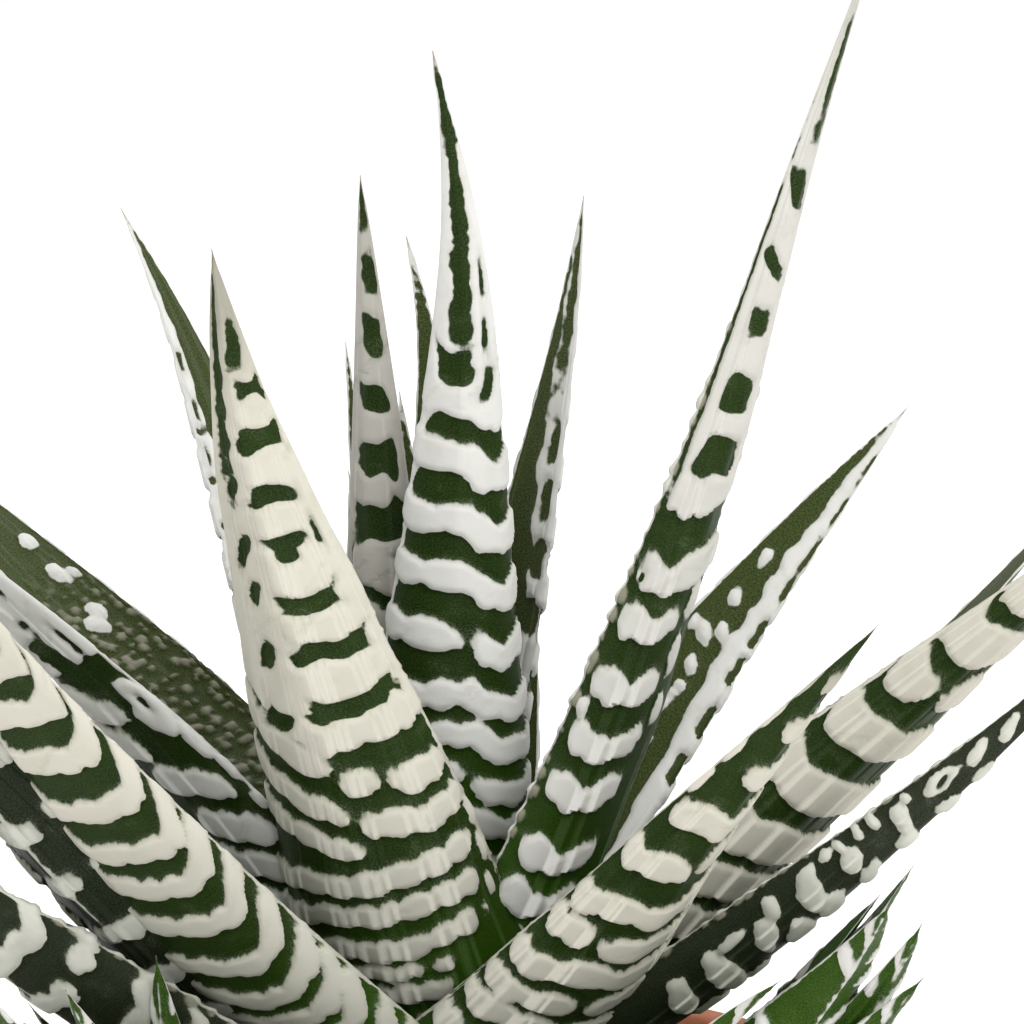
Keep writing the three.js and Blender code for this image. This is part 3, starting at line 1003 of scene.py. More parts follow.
@dataclass(frozen=True)
class LeafFinish:
    """Skin of a leaf: matt green flesh with waxy white bands."""

    name: str
    white: Colour = (0.65, 0.645, 0.62)
    shade: Colour = (0.50, 0.50, 0.455)
    # low is the white near the leaf's base. Where it is darker than white it is painted shade; where it is
    # lighter it is painted light.
    low: Colour = (0.70, 0.70, 0.68)
    deep: Colour = (0.006, 0.016, 0.002)
    light: Colour = (0.026, 0.050, 0.006)
    speck: Colour = (0.08, 0.13, 0.035)
    lime: Colour = (0.036, 0.105, 0.003)
    lime_reach: float = 0.3
    face: Colour = (0.070, 0.090, 0.024)
    bead: Colour = (0.26, 0.25, 0.19)
    pitted: float = 0.15
    # tip_shade and tip: painted shade that darkens the white towards the tip. On cream leaves it also stands
    # for the greyish dry tip.
    tip_shade: float = 0.0
    dry: Colour = (0.20, 0.14, 0.08)
    dust: Colour = (0.20, 0.21, 0.17)
    ground: Colour = (0.013, 0.016, 0.008)
    pit: Colour = (0.30, 0.31, 0.26)
    tip: Colour = (0.20, 0.19, 0.15)
    thin_wax: Colour = (0.22, 0.25, 0.14)

    STRETCH = 0.25
    FACES_APART = 9.0
    BUMP = 0.00022

    def build(self) -> bpy.types.Material:
        """Builds the material.

        Returns:
            The material.
        """
        nodes = Nodes(self.name)
        white = nodes.attribute("white")
        soft = nodes.attribute("soft")
        bead = nodes.attribute("bead")
        along = nodes.attribute("along")
        upper = nodes.attribute("upper")
        apart = upper * self.FACES_APART
        flat = nodes.vector(nodes.attribute("map_x"), nodes.attribute("map_y") * self.STRETCH, apart)
        even = nodes.vector(nodes.attribute("map_x"), nodes.attribute("map_y"), apart)
        streaks = nodes.noise(flat, 2.6, 3.0, 0.6)
        grain = nodes.noise(even, 7.0, 2.0, 0.7)
        fine = nodes.noise(even, 15.0, 2.0, 0.6)
        warp = nodes.noise(even, 2.0, 1.0) * 0.5
        cloud = nodes.noise(even, 0.33, 3.0, 0.55)
        ragged = white + (streaks - 0.5) * (soft * 0.34 + 0.05) + (fine - 0.5) * 0.10
        edge = soft * 0.07 + 0.035
        mask = ragged.step(edge * -1.0, edge)
        flesh = nodes.blend(grain.step(0.40, 0.68), self.deep, self.light)
        flesh = nodes.blend(cloud.step(0.35, 0.75) * 0.35, flesh, self.light)
        near_base = (along + (cloud - 0.5) * 0.12).step(self.lime_reach, 0.02)
        flesh = nodes.blend(near_base * (grain * 0.6 + 0.4), flesh, self.lime)
        flesh = nodes.blend(upper * 0.85, flesh, nodes.blend(grain.step(0.25, 0.7), self.deep, self.face))
        flesh = nodes.blend(fine.step(0.66, 0.78) * 0.75, flesh, self.speck)
        bloom = cloud.step(0.58, 0.70) * grain.step(0.42, 0.7)
        haze = ragged.step(-0.5, 0.05) * soft * grain.step(0.38, 0.75) + bloom * 0.55
        flesh = nodes.blend(haze * 0.4, flesh, self.dust)
        flesh = nodes.blend(bead.step(0.0, -0.5) * 0.9, flesh, self.ground)
        flesh = nodes.blend(bead.step(0.15, 0.95) * 0.85, flesh, self.bead)
        wax = nodes.blend(cloud.step(0.4, 0.8) * 0.45, self.white, self.shade)
        # Painted light and shade at the base: the white turns to low, darker on the cream and dark leaves,
        # lighter on the white, young and shaded-white leaves.
        wax = nodes.blend(along.step(0.55, 0.1) * 0.6, wax, self.low)
        pits = nodes.cells(even + warp, 0.85).step(0.30, 0.12) * cloud.step(0.42, 0.56)
        wax = nodes.blend(pits * self.pitted, wax, self.pit)
        # Painted shade towards the tip, from four fifths of the length upwards. On cream leaves it is partly
        # the greyish dry tip.
        wax = nodes.blend(along.step(0.8, 0.97) * self.tip_shade, wax, self.tip)
        thin = white.step(0.35, 0.0) * (soft * 0.8 + 0.2)
        wax = nodes.blend(thin * 0.35, wax, self.thin_wax)
        skin = nodes.blend(mask, flesh, wax)
        skin = nodes.blend(along.step(0.975, 1.0) * 0.85, skin, self.dry)
        height = grain * 0.12 + fine * 0.12 - pits * self.pitted * 0.6
        normal = nodes.bump(height, self.BUMP, 0.8)
        roughness = mask * 0.06 + 0.46 + (grain - 0.5) * 0.12
        nodes.surface(skin, roughness, normal, Specular_IOR_Level=0.1)
        return nodes.material


@dataclass(frozen=True)
class ClayFinish:
    """Fired clay with a lime bloom near the rim and the foot; height is the pot's, in metres."""

    height: float
    name: str = "fired_clay"
    body: Colour = (0.42, 0.150, 0.062)
    dark: Colour = (0.27, 0.085, 0.036)
    bloom: Colour = (0.62, 0.47, 0.36)
    foot_bloom: float = 0.012

    def build(self) -> bpy.types.Material:
        """Builds the material.

        Returns:
            The material.
        """
        nodes = Nodes(self.name)
        place = nodes.place()
        level = nodes.node("ShaderNodeSeparateXYZ", {}, {0: place}, 2)
        grain = nodes.noise(place, 2600.0, 3.0, 0.6)
        cloud = nodes.noise(place, 48.0, 4.0, 0.6)
        rings = nodes.noise(nodes.vector(0.0, 0.0, level + cloud * 0.0015), 900.0, 3.0, 0.6)
        clay = nodes.blend(cloud.step(0.3, 0.75), self.dark, self.body)
        clay = nodes.blend(grain.step(0.58, 0.74) * 0.35, clay, self.dark)
        # Darker towards the bottom of the pot.
        darker_low_clay = level.step(0.35 * self.height, 0.0) * 0.5
        clay = nodes.blend(darker_low_clay, clay, self.dark)
        salt = (level.step(0.7 * self.height, self.height) * cloud.step(0.42, 0.66)
                + level.step(self.foot_bloom, 0.0) * cloud.step(0.5, 0.7))
        clay = nodes.blend(salt * 0.45 * grain.step(0.3, 0.6), clay, self.bloom)
        normal = nodes.bump(rings * 0.5 + grain * 0.3, 0.00025, 0.6)
        nodes.surface(clay, cloud * 0.1 + 0.78, normal, Specular_IOR_Level=0.3)
        return nodes.material


@dataclass(frozen=True)
class EarthFinish:
    """Dark peat or pale grit, by its two colours."""

    name: str
    dark: Colour
    pale: Colour
    scale: float = 700.0

    def build(self) -> bpy.types.Material:
        """Builds the material.

        Returns:
            The material.
        """
        nodes = Nodes(self.name)
        place = nodes.place()
        crumbs = nodes.noise(place, self.scale, 5.0, 0.65)
        fibres = nodes.noise(place, self.scale * 3.0, 3.0, 0.7)
        earth = nodes.blend(crumbs.step(0.35, 0.7), self.dark, self.pale)
        normal = nodes.bump(crumbs * 0.7 + fibres * 0.3, 0.0006, 0.9)
        nodes.surface(earth, fibres * 0.15 + 0.8, normal, Specular_IOR_Level=0.25)
        return nodes.material


def mesh_of(name: str, bm: bmesh.types.BMesh) -> bpy.types.Mesh:
    """Mesh that holds what a bmesh holds, which is freed.

    Args:
        name: the mesh's name.
        bm: the bmesh, which is freed.

    Returns:
        The mesh.
    """
    mesh = bpy.data.meshes.new(name)
    bm.to_mesh(mesh)
    bm.free()
    return mesh


def piece_of(name: str, mesh: bpy.types.Mesh, material: bpy.types.Material, slot: str,
             *nodes: str) -> bpy.types.Object:
    """Puts a finished mesh into the scene as a piece.

    Args:
        name: the piece's name.
        mesh: its mesh, in metres.
        material: its finish.
        slot: a material slot's name, which is not used.
        nodes: the solids that it stands for.

    Returns:
        The piece.
    """
    mesh.materials.append(material)
    piece = bpy.data.objects.new(name, mesh)
    bpy.context.scene.collection.objects.link(piece)
    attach(piece, "root")
    if nodes:
        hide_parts(*nodes)
    mesh.calc_loop_triangles()
    log.info("%s: %d triangles", name, len(mesh.loop_triangles))
    return piece


@dataclass
class Rosette:
    """The grown leaves round the stem."""

    blades: tuple[Blade, ...]
    finishes: dict[Tone, bpy.types.Material]

    SEED = 100

    def build(self) -> None:
        """Builds every leaf in place of its solid."""
        for number, blade in enumerate(self.blades, start=1):
            node = f"leaf_{number:02d}"
            mesh = bpy.data.meshes.new(node + "_skin")
            LeafMesh(blade, ROSETTE_LEVEL, self.SEED + number).grow(mesh)
            piece_of(node + "_skin", mesh, self.finishes[blade.tone], "leaf", node)


@dataclass
class Offset:
    """A young rosette on a stem of its own."""

    name: str
    place: Pair
    blades: tuple[Blade, ...]

    SEED = 900
    SEED_STEP = 20
    STEM_RADIUS = 2.4
    STEM_HEIGHT = 6.0
    HOLE_DEPTH = 9.0
    DETAIL = 0.72
    MARKING = Marking(pitch=(3.9, 4.6), first=5.0, share=(0.28, 0.34), sag=0.1, waver=0.4, lobe=1.8,
                      lobe_depth=0.5, cuts=(1.2, 1.0), loss=0.18, gap=0.3, margin=(0.15, 0.25),
                      wave=((-1.0, 2.4), (-0.4, 1.2), (0.0, -0.6), (0.4, 1.2), (1.0, 2.4)),
                      keel=(0.0, 0.15), teeth=0.25, spots=4)

    def build(self, order: int, finish: bpy.types.Material) -> None:
        """Builds the leaves and the stem as one piece.

        Args:
            order: number of the offset, which sets its random draws.
            finish: the leaves' finish.
        """
        seed = self.SEED + self.SEED_STEP * order
        bm = bmesh.new()
        for number, blade in enumerate(self.blades):
            young = replace(blade, start=self.place, marking=self.MARKING, tone=Tone.YOUNG,
                            detail=self.DETAIL)
            leaf = bpy.data.meshes.new("young_leaf")
            LeafMesh(young, SOIL_LEVEL, seed + number).grow(leaf)
            bm.from_mesh(leaf)
            bpy.data.meshes.remove(leaf)
        bottom, top = SOIL_LEVEL - self.HOLE_DEPTH, SOIL_LEVEL + self.STEM_HEIGHT
        middle = Vector((self.place[0], self.place[1], 0.5 * (bottom + top))) * MM
        bmesh.ops.create_cone(bm, cap_ends=True, segments=24, radius1=self.STEM_RADIUS * MM,
                              radius2=self.STEM_RADIUS * MM, depth=(top - bottom) * MM,
                              matrix=Matrix.Translation(middle))
        mesh = mesh_of(self.name + "_skin", bm)
        mesh.shade_smooth()
        piece_of(self.name + "_skin", mesh, finish, "offset_leaf", self.name)


@dataclass
class Pot:
    """Tapered clay pot with a collar and drain holes, in millimetres."""

    height: float = 67.0
    rim_radius: float = 39.0
    foot_radius: float = 27.0
    wall: float = 3.6
    floor: float = 5.0
    collar_height: float = 16.0
    collar_step: float = 1.8
    lip: float = 1.2
    chamfer: float = 1.0
    drain_holes: int = 4
    drain_radius: float = 3.0
    drain_circle: float = 14.0
    drill_spare: float = 4.0
    rounding: float = 0.5
    rounded_angle: float = 20.0
    sharp_angle: float = 35.0
    axis_clear: float = 5.0
    segments: int = 144
    hole_segments: int = 32

    def outer(self, z: float) -> float:
        """Radius of the outside below the collar."""
        return float(mix(self.foot_radius, self.rim_radius - self.collar_step, z / self.height))

    def inner(self, z: float) -> float:
        """Radius of the inside."""
        return self.outer(z) - self.wall

    def profile(self) -> list[Pair]:
        """Half section of the pot, from the axis below to the axis inside.

        Returns:
            Radius and height of each corner between the two, in millimetres.
        """
        collar = self.height - self.collar_height
        return [
            (self.foot_radius - self.chamfer, 0.0),
            (self.outer(self.chamfer), self.chamfer),
            (self.outer(collar), collar),
            (self.outer(collar) + self.collar_step, collar + 0.6 * self.collar_step),
            (self.rim_radius, self.height - self.lip),
            (self.rim_radius - self.lip, self.height),
            (self.inner(self.height) + self.lip, self.height),
            (self.inner(self.height), self.height - self.lip),
            (self.inner(self.floor), self.floor),
        ]

    def build(self, finish: bpy.types.Material) -> None:
        """Spins the profile round the axis, closes it and cuts the drain holes.

        Args:
            finish: the clay.
        """
        bm = bmesh.new()
        corners = [(0.0, 0.0), *self.profile(), (0.0, self.floor)]
        verts = [bm.verts.new((r * MM, 0.0, z * MM)) for r, z in corners]
        edges = [bm.edges.new(pair) for pair in zip(verts[:-1], verts[1:])]
        bmesh.ops.spin(bm, geom=verts + edges, cent=(0, 0, 0), axis=(0, 0, 1), angle=2.0 * math.pi,
                       steps=self.segments, use_merge=True)
        bmesh.ops.remove_doubles(bm, verts=bm.verts, dist=1e-6)
        sharp = [edge for edge in bm.edges if len(edge.link_faces) == 2
                 and edge.calc_face_angle(0.0) > math.radians(self.rounded_angle)
                 and edge.verts[0].co.xy.length > self.axis_clear * MM]
        bmesh.ops.bevel(bm, geom=sharp, offset=self.rounding * MM, affect="EDGES", segments=3,
                        profile=0.5, material=-1)
        bmesh.ops.recalc_face_normals(bm, faces=bm.faces)
        mesh = self.drained(mesh_of("clay_pot", bm))
        mesh.shade_smooth()
        piece = piece_of("clay_pot", mesh, finish, "clay", "pot")
        mark_sharp(piece, self.sharp_angle)

    def drained(self, mesh: bpy.types.Mesh) -> bpy.types.Mesh:
        """Copy of the pot's mesh with the drain holes cut through its floor.

        Args:
            mesh: the pot's mesh.

        Returns:
            The cut copy.
        """
        bm = bmesh.new()
        for number in range(self.drain_holes):
            turn = 2.0 * math.pi * (number + 0.5) / self.drain_holes
            middle = Vector((math.cos(turn), math.sin(turn), 0.0)) * self.drain_circle
            middle.z = 0.5 * self.floor
            bmesh.ops.create_cone(bm, cap_ends=True, segments=self.hole_segments,
                                  radius1=self.drain_radius * MM, radius2=self.drain_radius * MM,
                                  depth=(self.floor + self.drill_spare) * MM,
                                  matrix=Matrix.Translation(middle * MM))
        body = bpy.data.objects.new("pot_body", mesh)
        drill = bpy.data.objects.new("drill", mesh_of("drill", bm))
        for part in (body, drill):
            bpy.context.scene.collection.objects.link(part)
        cut = body.modifiers.new("holes", "BOOLEAN")
        cut.operation = "DIFFERENCE"
        cut.solver = "EXACT"
        cut.object = drill
        ready = body.evaluated_get(bpy.context.evaluated_depsgraph_get())
        result = bpy.data.meshes.new_from_object(ready)
        result.name = "clay_pot_drained"
        for part in (body, drill):
            bpy.data.objects.remove(part)
        return result


def mark_sharp(piece: bpy.types.Object, degrees: float) -> None:
    """Keeps the edges that turn by more than some degrees sharp under smooth shading.

    Args:
        piece: the piece.
        degrees: the least turn of a sharp edge.
    """
    bm = bmesh.new()
    bm.from_mesh(piece.data)
    for edge in bm.edges:
        edge.smooth = edge.calc_face_angle(0.0) < math.radians(degrees)
    bm.to_mesh(piece.data)
    bm.free()


@dataclass
class Soil:
    """Plug of peat that fills the pot, with grit pressed into its top."""

    pot: Pot
    level: float = SOIL_LEVEL
    rim_drop: float = 1.5
    roughness: float = 0.6
    gap: float = 0.3
    segments: int = 120
    rings: int = 44
    grit: int = 420
    grit_clear: float = 1.6
    dent_length: float = 1.6
    dent: float = 0.14
    seed: int = 5

    CRUMBS = ((5.0, 0.25), (2.2, 0.18), (1.1, 0.12))
    SINK = 0.2

    def top(self, x: np.ndarray, y: np.ndarray, radius: float) -> np.ndarray:
        """Height of the soil at places, with its lumps.

        Args:
            x: first coordinates of the places, in millimetres.
            y: second coordinates.
            radius: radius of the soil's top, in millimetres.

        Returns:
            The heights, in millimetres.
        """
        share = np.clip(np.hypot(x, y) / radius, 0.0, 1.0)
        lumps = np.sin(0.9 * x + 1.3) * np.cos(0.8 * y) + 0.6 * np.sin(1.7 * y - 0.6 * x)
        return self.level - self.rim_drop * share * share + self.roughness * lumps * (share < 0.97)

    def build(self, peat: bpy.types.Material, stones: bpy.types.Material) -> None:
        """Builds the plug and the grit.

        Args:
            peat: the plug's finish.
            stones: the grit's finish.
        """
        edge = self.level - self.rim_drop
        radius = self.pot.inner(edge) - self.gap
        foot = self.pot.floor + self.gap
        bm = bmesh.new()
        bmesh.ops.create_cone(bm, cap_ends=True, cap_tris=True, segments=self.segments,
                              radius1=(self.pot.inner(foot) - self.gap) * MM, radius2=radius * MM,
                              depth=(edge - foot) * MM,
                              matrix=Matrix.Translation((0.0, 0.0, 0.5 * (edge + foot) * MM)))
        bm.verts.ensure_lookup_table()
        crown = max(bm.verts, key=lambda vert: vert.co.z - vert.co.xy.length)
        bmesh.ops.subdivide_edges(bm, edges=list(crown.link_edges), cuts=self.rings, use_grid_fill=True)
        bmesh.ops.triangulate(bm, faces=[face for face in bm.faces if len(face.verts) > 4])
        rng = np.random.default_rng(self.seed)
        crumbs = [(Ripple(rng, length), size) for length, size in self.CRUMBS]
        for vert in bm.verts:
            if vert.co.z > (edge - 0.01) * MM:
                x, y = vert.co.x / MM, vert.co.y / MM
                share = math.hypot(x, y) / radius
                fade = float(ease(1.0, 0.93, share))
                height = float(self.top(np.array(x), np.array(y), radius))
                rough = sum(float(ripple.at(np.array(x), np.array(y))) * size for ripple, size in crumbs)
                vert.co.z = float(mix(edge, height + rough - self.SINK, fade)) * MM
        bmesh.ops.recalc_face_normals(bm, faces=bm.faces)
        mesh = mesh_of("peat", bm)
        mesh.shade_smooth()
        piece_of("peat", mesh, peat, "soil", "soil")
        self.scatter(radius, rng, stones)

    def scatter(self, radius: float, rng: np.random.Generator, finish: bpy.types.Material) -> None:
        """Presses small stones into the top of the soil.

        Args:
            radius: radius of the soil's top, in millimetres.
            rng: source of the random numbers.
            finish: the stones' finish.
        """
        bm = bmesh.new()
        for _ in range(self.grit):
            away = (radius - self.grit_clear) * math.sqrt(rng.uniform(0.0, 1.0))
            turn = rng.uniform(0.0, 2.0 * math.pi)
            x, y = away * math.cos(turn), away * math.sin(turn)
            size = rng.uniform(0.45, 1.25)
            level = float(self.top(np.array(x), np.array(y), radius))
            made = bmesh.ops.create_icosphere(bm, subdivisions=2, radius=1.0)["verts"]
            stretch = rng.uniform(0.65, 1.15, 3) * size
            spin = Matrix.Rotation(rng.uniform(0.0, math.pi), 3, Vector(rng.normal(0.0, 1.0, 3)))
            dents = Ripple(rng, self.dent_length)
            for vert in made:
                co = vert.co
                bulge = 1.0 + self.dent * float(dents.at(np.array(co.x), np.array(co.y + co.z)))
                shaped = spin @ Vector((co.x * stretch[0], co.y * stretch[1], co.z * stretch[2]))
                vert.co = (shaped * bulge + Vector((x, y, level - 0.1 * size))) * MM
        piece_of("grit", mesh_of("grit", bm), finish, "soil")


@dataclass
class Studio:
    """Pale floor, soft light and the camera at the photograph's angle."""

    target: Vector = field(default_factory=lambda: Vector((6.0, 0.0, 118.1)) * MM)
    distance: float = 0.4
    elevation: float = 10.0
    lens: float = 168.75
    floor_radius: float = 4.0

    def floor(self) -> None:
        """Wide round pale floor."""
        bm = bmesh.new()
        bmesh.ops.create_circle(bm, cap_ends=True, segments=96, radius=self.floor_radius)
        mesh = mesh_of("floor", bm)
        nodes = Nodes("pale_floor")
        place = nodes.place()
        cloud = nodes.noise(place, 3.0, 2.0)
        colour = nodes.blend(cloud, (0.93, 0.93, 0.925), (0.95, 0.95, 0.945))
        nodes.surface(colour, 0.9, nodes.bump(cloud, 0.0001, 0.1), Specular_IOR_Level=0.1)
        mesh.materials.append(nodes.material)
        floor = bpy.data.objects.new("floor", mesh)
        bpy.context.scene.collection.objects.link(floor)

    def light(self, name: str, place: Colour, size: float, power: float, colour: Colour) -> None:
        """Soft square light that faces the plant.

        Args:
            name: the light's name.
            place: where it hangs, in metres.
            size: its side, in metres.
            power: its power, in watts.
            colour: its colour.
        """
        lamp = bpy.data.lights.new(name, "AREA")
        lamp.size = size
        lamp.energy = power
        lamp.color = colour
        body = bpy.data.objects.new(name, lamp)
        body.location = place
        body.rotation_euler = (self.target - Vector(place)).to_track_quat("-Z", "Y").to_euler()
        bpy.context.scene.collection.objects.link(body)

    def camera(self) -> None:
        """Camera in front of the plant and a little above it."""
        lens = bpy.data.cameras.new("camera")
        lens.lens = self.lens
        lens.sensor_width = 36.0
        lens.clip_start = 0.01
        lens.clip_end = 20.0
        body = bpy.data.objects.new("camera", lens)
        tilt = math.radians(self.elevation)
        offset = Vector((0.0, -math.cos(tilt), math.sin(tilt))) * self.distance
        body.location = self.target + offset
        body.rotation_euler = (-offset).to_track_quat("-Z", "Y").to_euler()
        bpy.context.scene.collection.objects.link(body)
        bpy.context.scene.camera = body

    def build(self) -> None:
        """Builds the floor, the lights, the sky and the camera."""
        self.floor()
        self.light("window", (0.6, -0.8, 0.95), 0.6, 8.0, (1.0, 0.985, 0.96))
        self.light("back", (0.25, 0.9, 0.8), 0.7, 4.0, (1.0, 1.0, 1.0))
        self.light("front", (-0.3, -1.3, 0.4), 1.0, 1.5, (1.0, 1.0, 1.0))
        world = bpy.data.worlds.new("studio")
        world.use_nodes = True
        world.node_tree.nodes["Background"].inputs[0].default_value = (1.0, 1.0, 1.0, 1.0)
        world.node_tree.nodes["Background"].inputs[1].default_value = 1.05
        bpy.context.scene.world = world
        bpy.context.scene.view_settings.view_transform = "Standard"
        self.camera()


HIDDEN = Marking(share=(0.5, 0.7), cuts=(0.9, 0.2))

BROAD_UPRIGHT = Marking(
    bands=(
        Band(10.4, -2.0, (-0.4, 0.95)),
        Band(12.6, -2.0, (-0.45, 0.95), (-0.28,), 0.75),
        Band(15.4, -2.2, (-0.68, 0.95), (), 0.95),
        Band(18.7, -1.8, (-0.8, 0.97), (), 1.1),
        Band(22.2, -1.5, (-0.87, 0.97), (), 1.15),
        Band(25.3, 3.2, (-0.1, 0.97), (), 1.1),
        Band(27.1, 0.3, (-0.98, -0.1), (), 1.2),
        Band(28.8, 4.8, (-0.05, 0.97), (), 1.2),
        Band(31.1, 0.8, (-0.97, -0.04), (-0.34,), 1.3),
        Band(33.0, 6.3, (-0.02, 0.97), (), 1.3),
    ),
    pitch=(3.4, 4.6), sag=0.0, waver=0.3,
    wave=((-1.0, 0.6), (-0.6, 0.1), (-0.2, 0.5), (0.1, 0.0), (1.0, 0.2)),
    margin=(0.22, 0.7), solid=34.4, bend=(0.6, 7.5), lobe=2.2, lobe_depth=0.45, sides=(0.9, 0.97),
    windows=(
        Spot(38.4, -0.4, 1.0, 3.5, turn=4, bend=0.7, flare=0.5),
        Spot(43.6, -0.37, 1.0, 2.8, turn=-4, bend=0.6, flare=0.5),
        Spot(48.2, -0.26, 0.95, 1.9, turn=-6, bend=0.5, flare=0.6),
        Spot(54.0, -0.22, 0.6, 1.3, turn=-6),
        Spot(53.1, -0.16, 0.8, 0.7),
        Spot(58.3, -0.25, 0.95, 1.5, turn=-4, flare=0.5),
        Spot(63.3, -0.37, 1.15, 1.5, flare=0.6),
        Spot(67.7, -0.46, 0.9, 0.95, flare=0.9),
        Spot(71.9, -0.3, 2.2, 0.42, turn=-6),
        Spot(54.0, -0.64, 1.1, 0.25),
        Spot(69.0, 0.5, 9.5, 0.42),
        Spot(58.4, 0.44, 1.2, 0.45, turn=-25),
        Spot(53.0, 0.44, 1.8, 0.5, turn=-18),
        Spot(49.2, 0.36, 1.2, 0.5, turn=-15),
        Spot(43.4, 0.35, 1.5, 0.65, turn=-22),
        Spot(37.6, 0.36, 1.1, 1.1, turn=-24, flare=0.5),
    ),
    pads=(
        Spot(25.4, -0.97, 1.3, 0.5),
        Spot(22.0, -0.94, 1.3, 0.5),
        Spot(19.0, -0.88, 1.1, 0.45),
        Spot(17.3, -0.76, 0.8, 0.32),
    ),
)

TALL_MIDDLE = Marking(
    bands=(
        Band(10.9, 0.0, None, (0.3,)),
        Band(14.3, 0.0, None, (-0.08,)),
        Band(17.9, 0.2, None, (0.42,)),
        Band(21.8, 0.2, None, ()),
        Band(26.3, 0.2, None, (-0.12,)),
        Band(31.0, 0.2, None, ()),
        Band(35.9, 0.2, None, ()),
        Band(40.9, 0.2, None, ()),
    ),
    pitch=(3.7, 4.9), share=(0.55, 0.68), sag=0.0, waver=0.25, lobe=2.8, lobe_depth=0.5, sides=(0.98, 1.0),
    wave=((-1.0, -0.3), (-0.8, -1.2), (-0.5, -1.7), (-0.34, -1.3), (-0.1, 0.0), (0.3, -0.1), (0.7, 0.0),
          (1.0, 0.8)),
    solid=44.5, edges=(0.3, 4.0), margin=(0.15, 0.62), keel=(0.0, 0.0),
    windows=(
        Spot(48.6, 0.13, 1.7, 1.25, turn=12, flare=0.4),
        Spot(55.0, 0.06, 5.6, 0.62, turn=-1),
        Spot(62.5, 0.0, 5.5, 0.45, turn=-1),
        Spot(70.0, -0.05, 3.5, 0.3),
        Spot(55.8, -0.56, 1.4, 0.2),
        Spot(51.3, -0.5, 1.6, 0.22),
        Spot(46.9, -0.5, 1.3, 0.5, turn=-12),
    ),
)

LONG_RIGHT = Marking(
    bands=(
        Band(13.6, 0.0, (0.02, 0.86), ()),
        Band(18.6, 0.0, (0.0, 0.86), ()),
        Band(23.8, 0.0, (-0.04, 0.88), ()),
        Band(29.0, 0.0, (-0.05, 0.88), ()),
        Band(34.0, 0.0, (-0.03, 0.88), ()),
        Band(39.4, 0.0, (-0.02, 0.86), ()),
        Band(44.8, -0.6, (-0.6, 0.9), ()),
    ),
    pitch=(5.0, 5.6), share=(0.60, 0.62), sag=0.0, waver=0.2, lobe=2.4, lobe_depth=0.55,
    notch=0.9, notch_at=0.34,
    wave=((-1.0, 1.6), (-0.1, 1.3), (0.08, 0.7), (0.3, 0.0), (0.55, 0.05), (0.78, 0.5), (1.0, 0.9)),
    margin=(0.12, 0.5), edges=(1.3, 0.4), solid=49.2, bend=(1.0, 0.5), teeth=0.9, keel=(0.0, 0.0),
    windows=(
        Spot(86.2, -0.15, 5.0, 0.42),
        Spot(77.1, 0.08, 1.8, 0.6, turn=16, flare=0.3),
        Spot(71.0, 0.2, 1.5, 0.42, turn=34),
        Spot(66.1, 0.17, 1.3, 0.6, flare=0.3),
        Spot(60.2, 0.17, 1.6, 1.1),
        Spot(54.7, 0.17, 1.9, 1.5, turn=-10, flare=0.3),
        Spot(64.4, 0.85, 17.0, 0.28),
        Spot(43.6, 0.72, 0.5, 0.25),
    ),
    pads=(
        Spot(42.1, -0.2, 2.0, 0.5),
        Spot(37.1, -0.16, 2.0, 0.5),
        Spot(32.2, -0.16, 1.6, 0.45),
        Spot(31.9, 0.82, 1.0, 0.55),
    ),
)

GREY_INNER = Marking(
    bands=(Band(14.6, 2.0), Band(19.4, 2.0), Band(24.4, 2.0, None, (0.42,))),
    pitch=(4.8, 5.0), share=(0.6, 0.68), cuts=(0.4, 0.0), keel=(0.0, 0.0), solid=30.2,
    bend=(0.0, 2.0), lobe_depth=0.4, teeth=0.3,
    windows=(
        Spot(27.8, 0.55, 2.4, 0.3),
        Spot(32.9, -0.25, 1.6, 2.6, turn=14, flare=0.3),
        Spot(38.1, -0.21, 1.5, 1.5, turn=8, flare=0.3),
        Spot(43.2, -0.19, 1.3, 1.05, turn=4, flare=0.2),
        Spot(48.5, -0.28, 1.6, 0.75),
        Spot(53.6, -0.35, 2.0, 0.5),
        Spot(59.0, -0.2, 2.0, 0.22),
    ),
)

LEAN_INNER = Marking(
    pitch=(4.8, 5.6), share=(0.5, 0.7), spots=0, hem=(0.9, -0.5), teeth=0.35,
    hem_windows=(
        Spot(54.0, 0.2, 7.5, 0.3),
        Spot(41.4, 0.45, 1.9, 0.42),
        Spot(36.5, 0.5, 1.9, 0.55),
        Spot(31.6, 0.55, 1.5, 1.0),
        Spot(26.8, 0.6, 1.5, 1.2),
    ),
)

GREEN_FACE = Marking(
    pitch=(4.4, 5.4), share=(0.5, 0.8), margin=(0.3, 1.0), spots=0, hem=(0.82, -0.15),
    hem_windows=(
        Spot(61.0, 0.72, 1.5, 0.2),
        Spot(56.4, 0.82, 1.5, 0.3),
        Spot(51.7, 0.8, 1.6, 0.45),
        Spot(47.8, 0.78, 1.3, 0.45),
        Spot(43.3, 0.78, 1.5, 0.6),
        Spot(39.2, 0.82, 1.4, 0.7),
        Spot(33.9, 0.86, 1.6, 0.9),
        Spot(28.9, 0.88, 1.6, 1.0),
    ),
    face_spots=(
        Spot(49.2, -0.29, 0.9, 0.42, turn=-12),
        Spot(44.8, -0.24, 0.9, 0.42, turn=-16),
        Spot(40.9, -0.58, 0.8, 0.45, turn=-20),
        Spot(40.7, -0.27, 1.1, 0.5, turn=-24),
        Spot(41.6, 0.0, 0.8, 0.42, turn=-14),
        Spot(37.6, -0.07, 1.0, 0.42, turn=-14),
        Spot(35.5, 0.0, 0.5, 0.35),
        Spot(34.6, -0.03, 0.45, 0.3),
        Spot(33.3, -0.06, 0.9, 0.45),
        Spot(31.9, -0.15, 0.5, 0.35),
        Spot(29.9, 0.05, 0.7, 0.3),
        Spot(27.4, -0.1, 0.5, 0.3),
        Spot(25.2, 0.1, 0.7, 0.3),
    ),
)

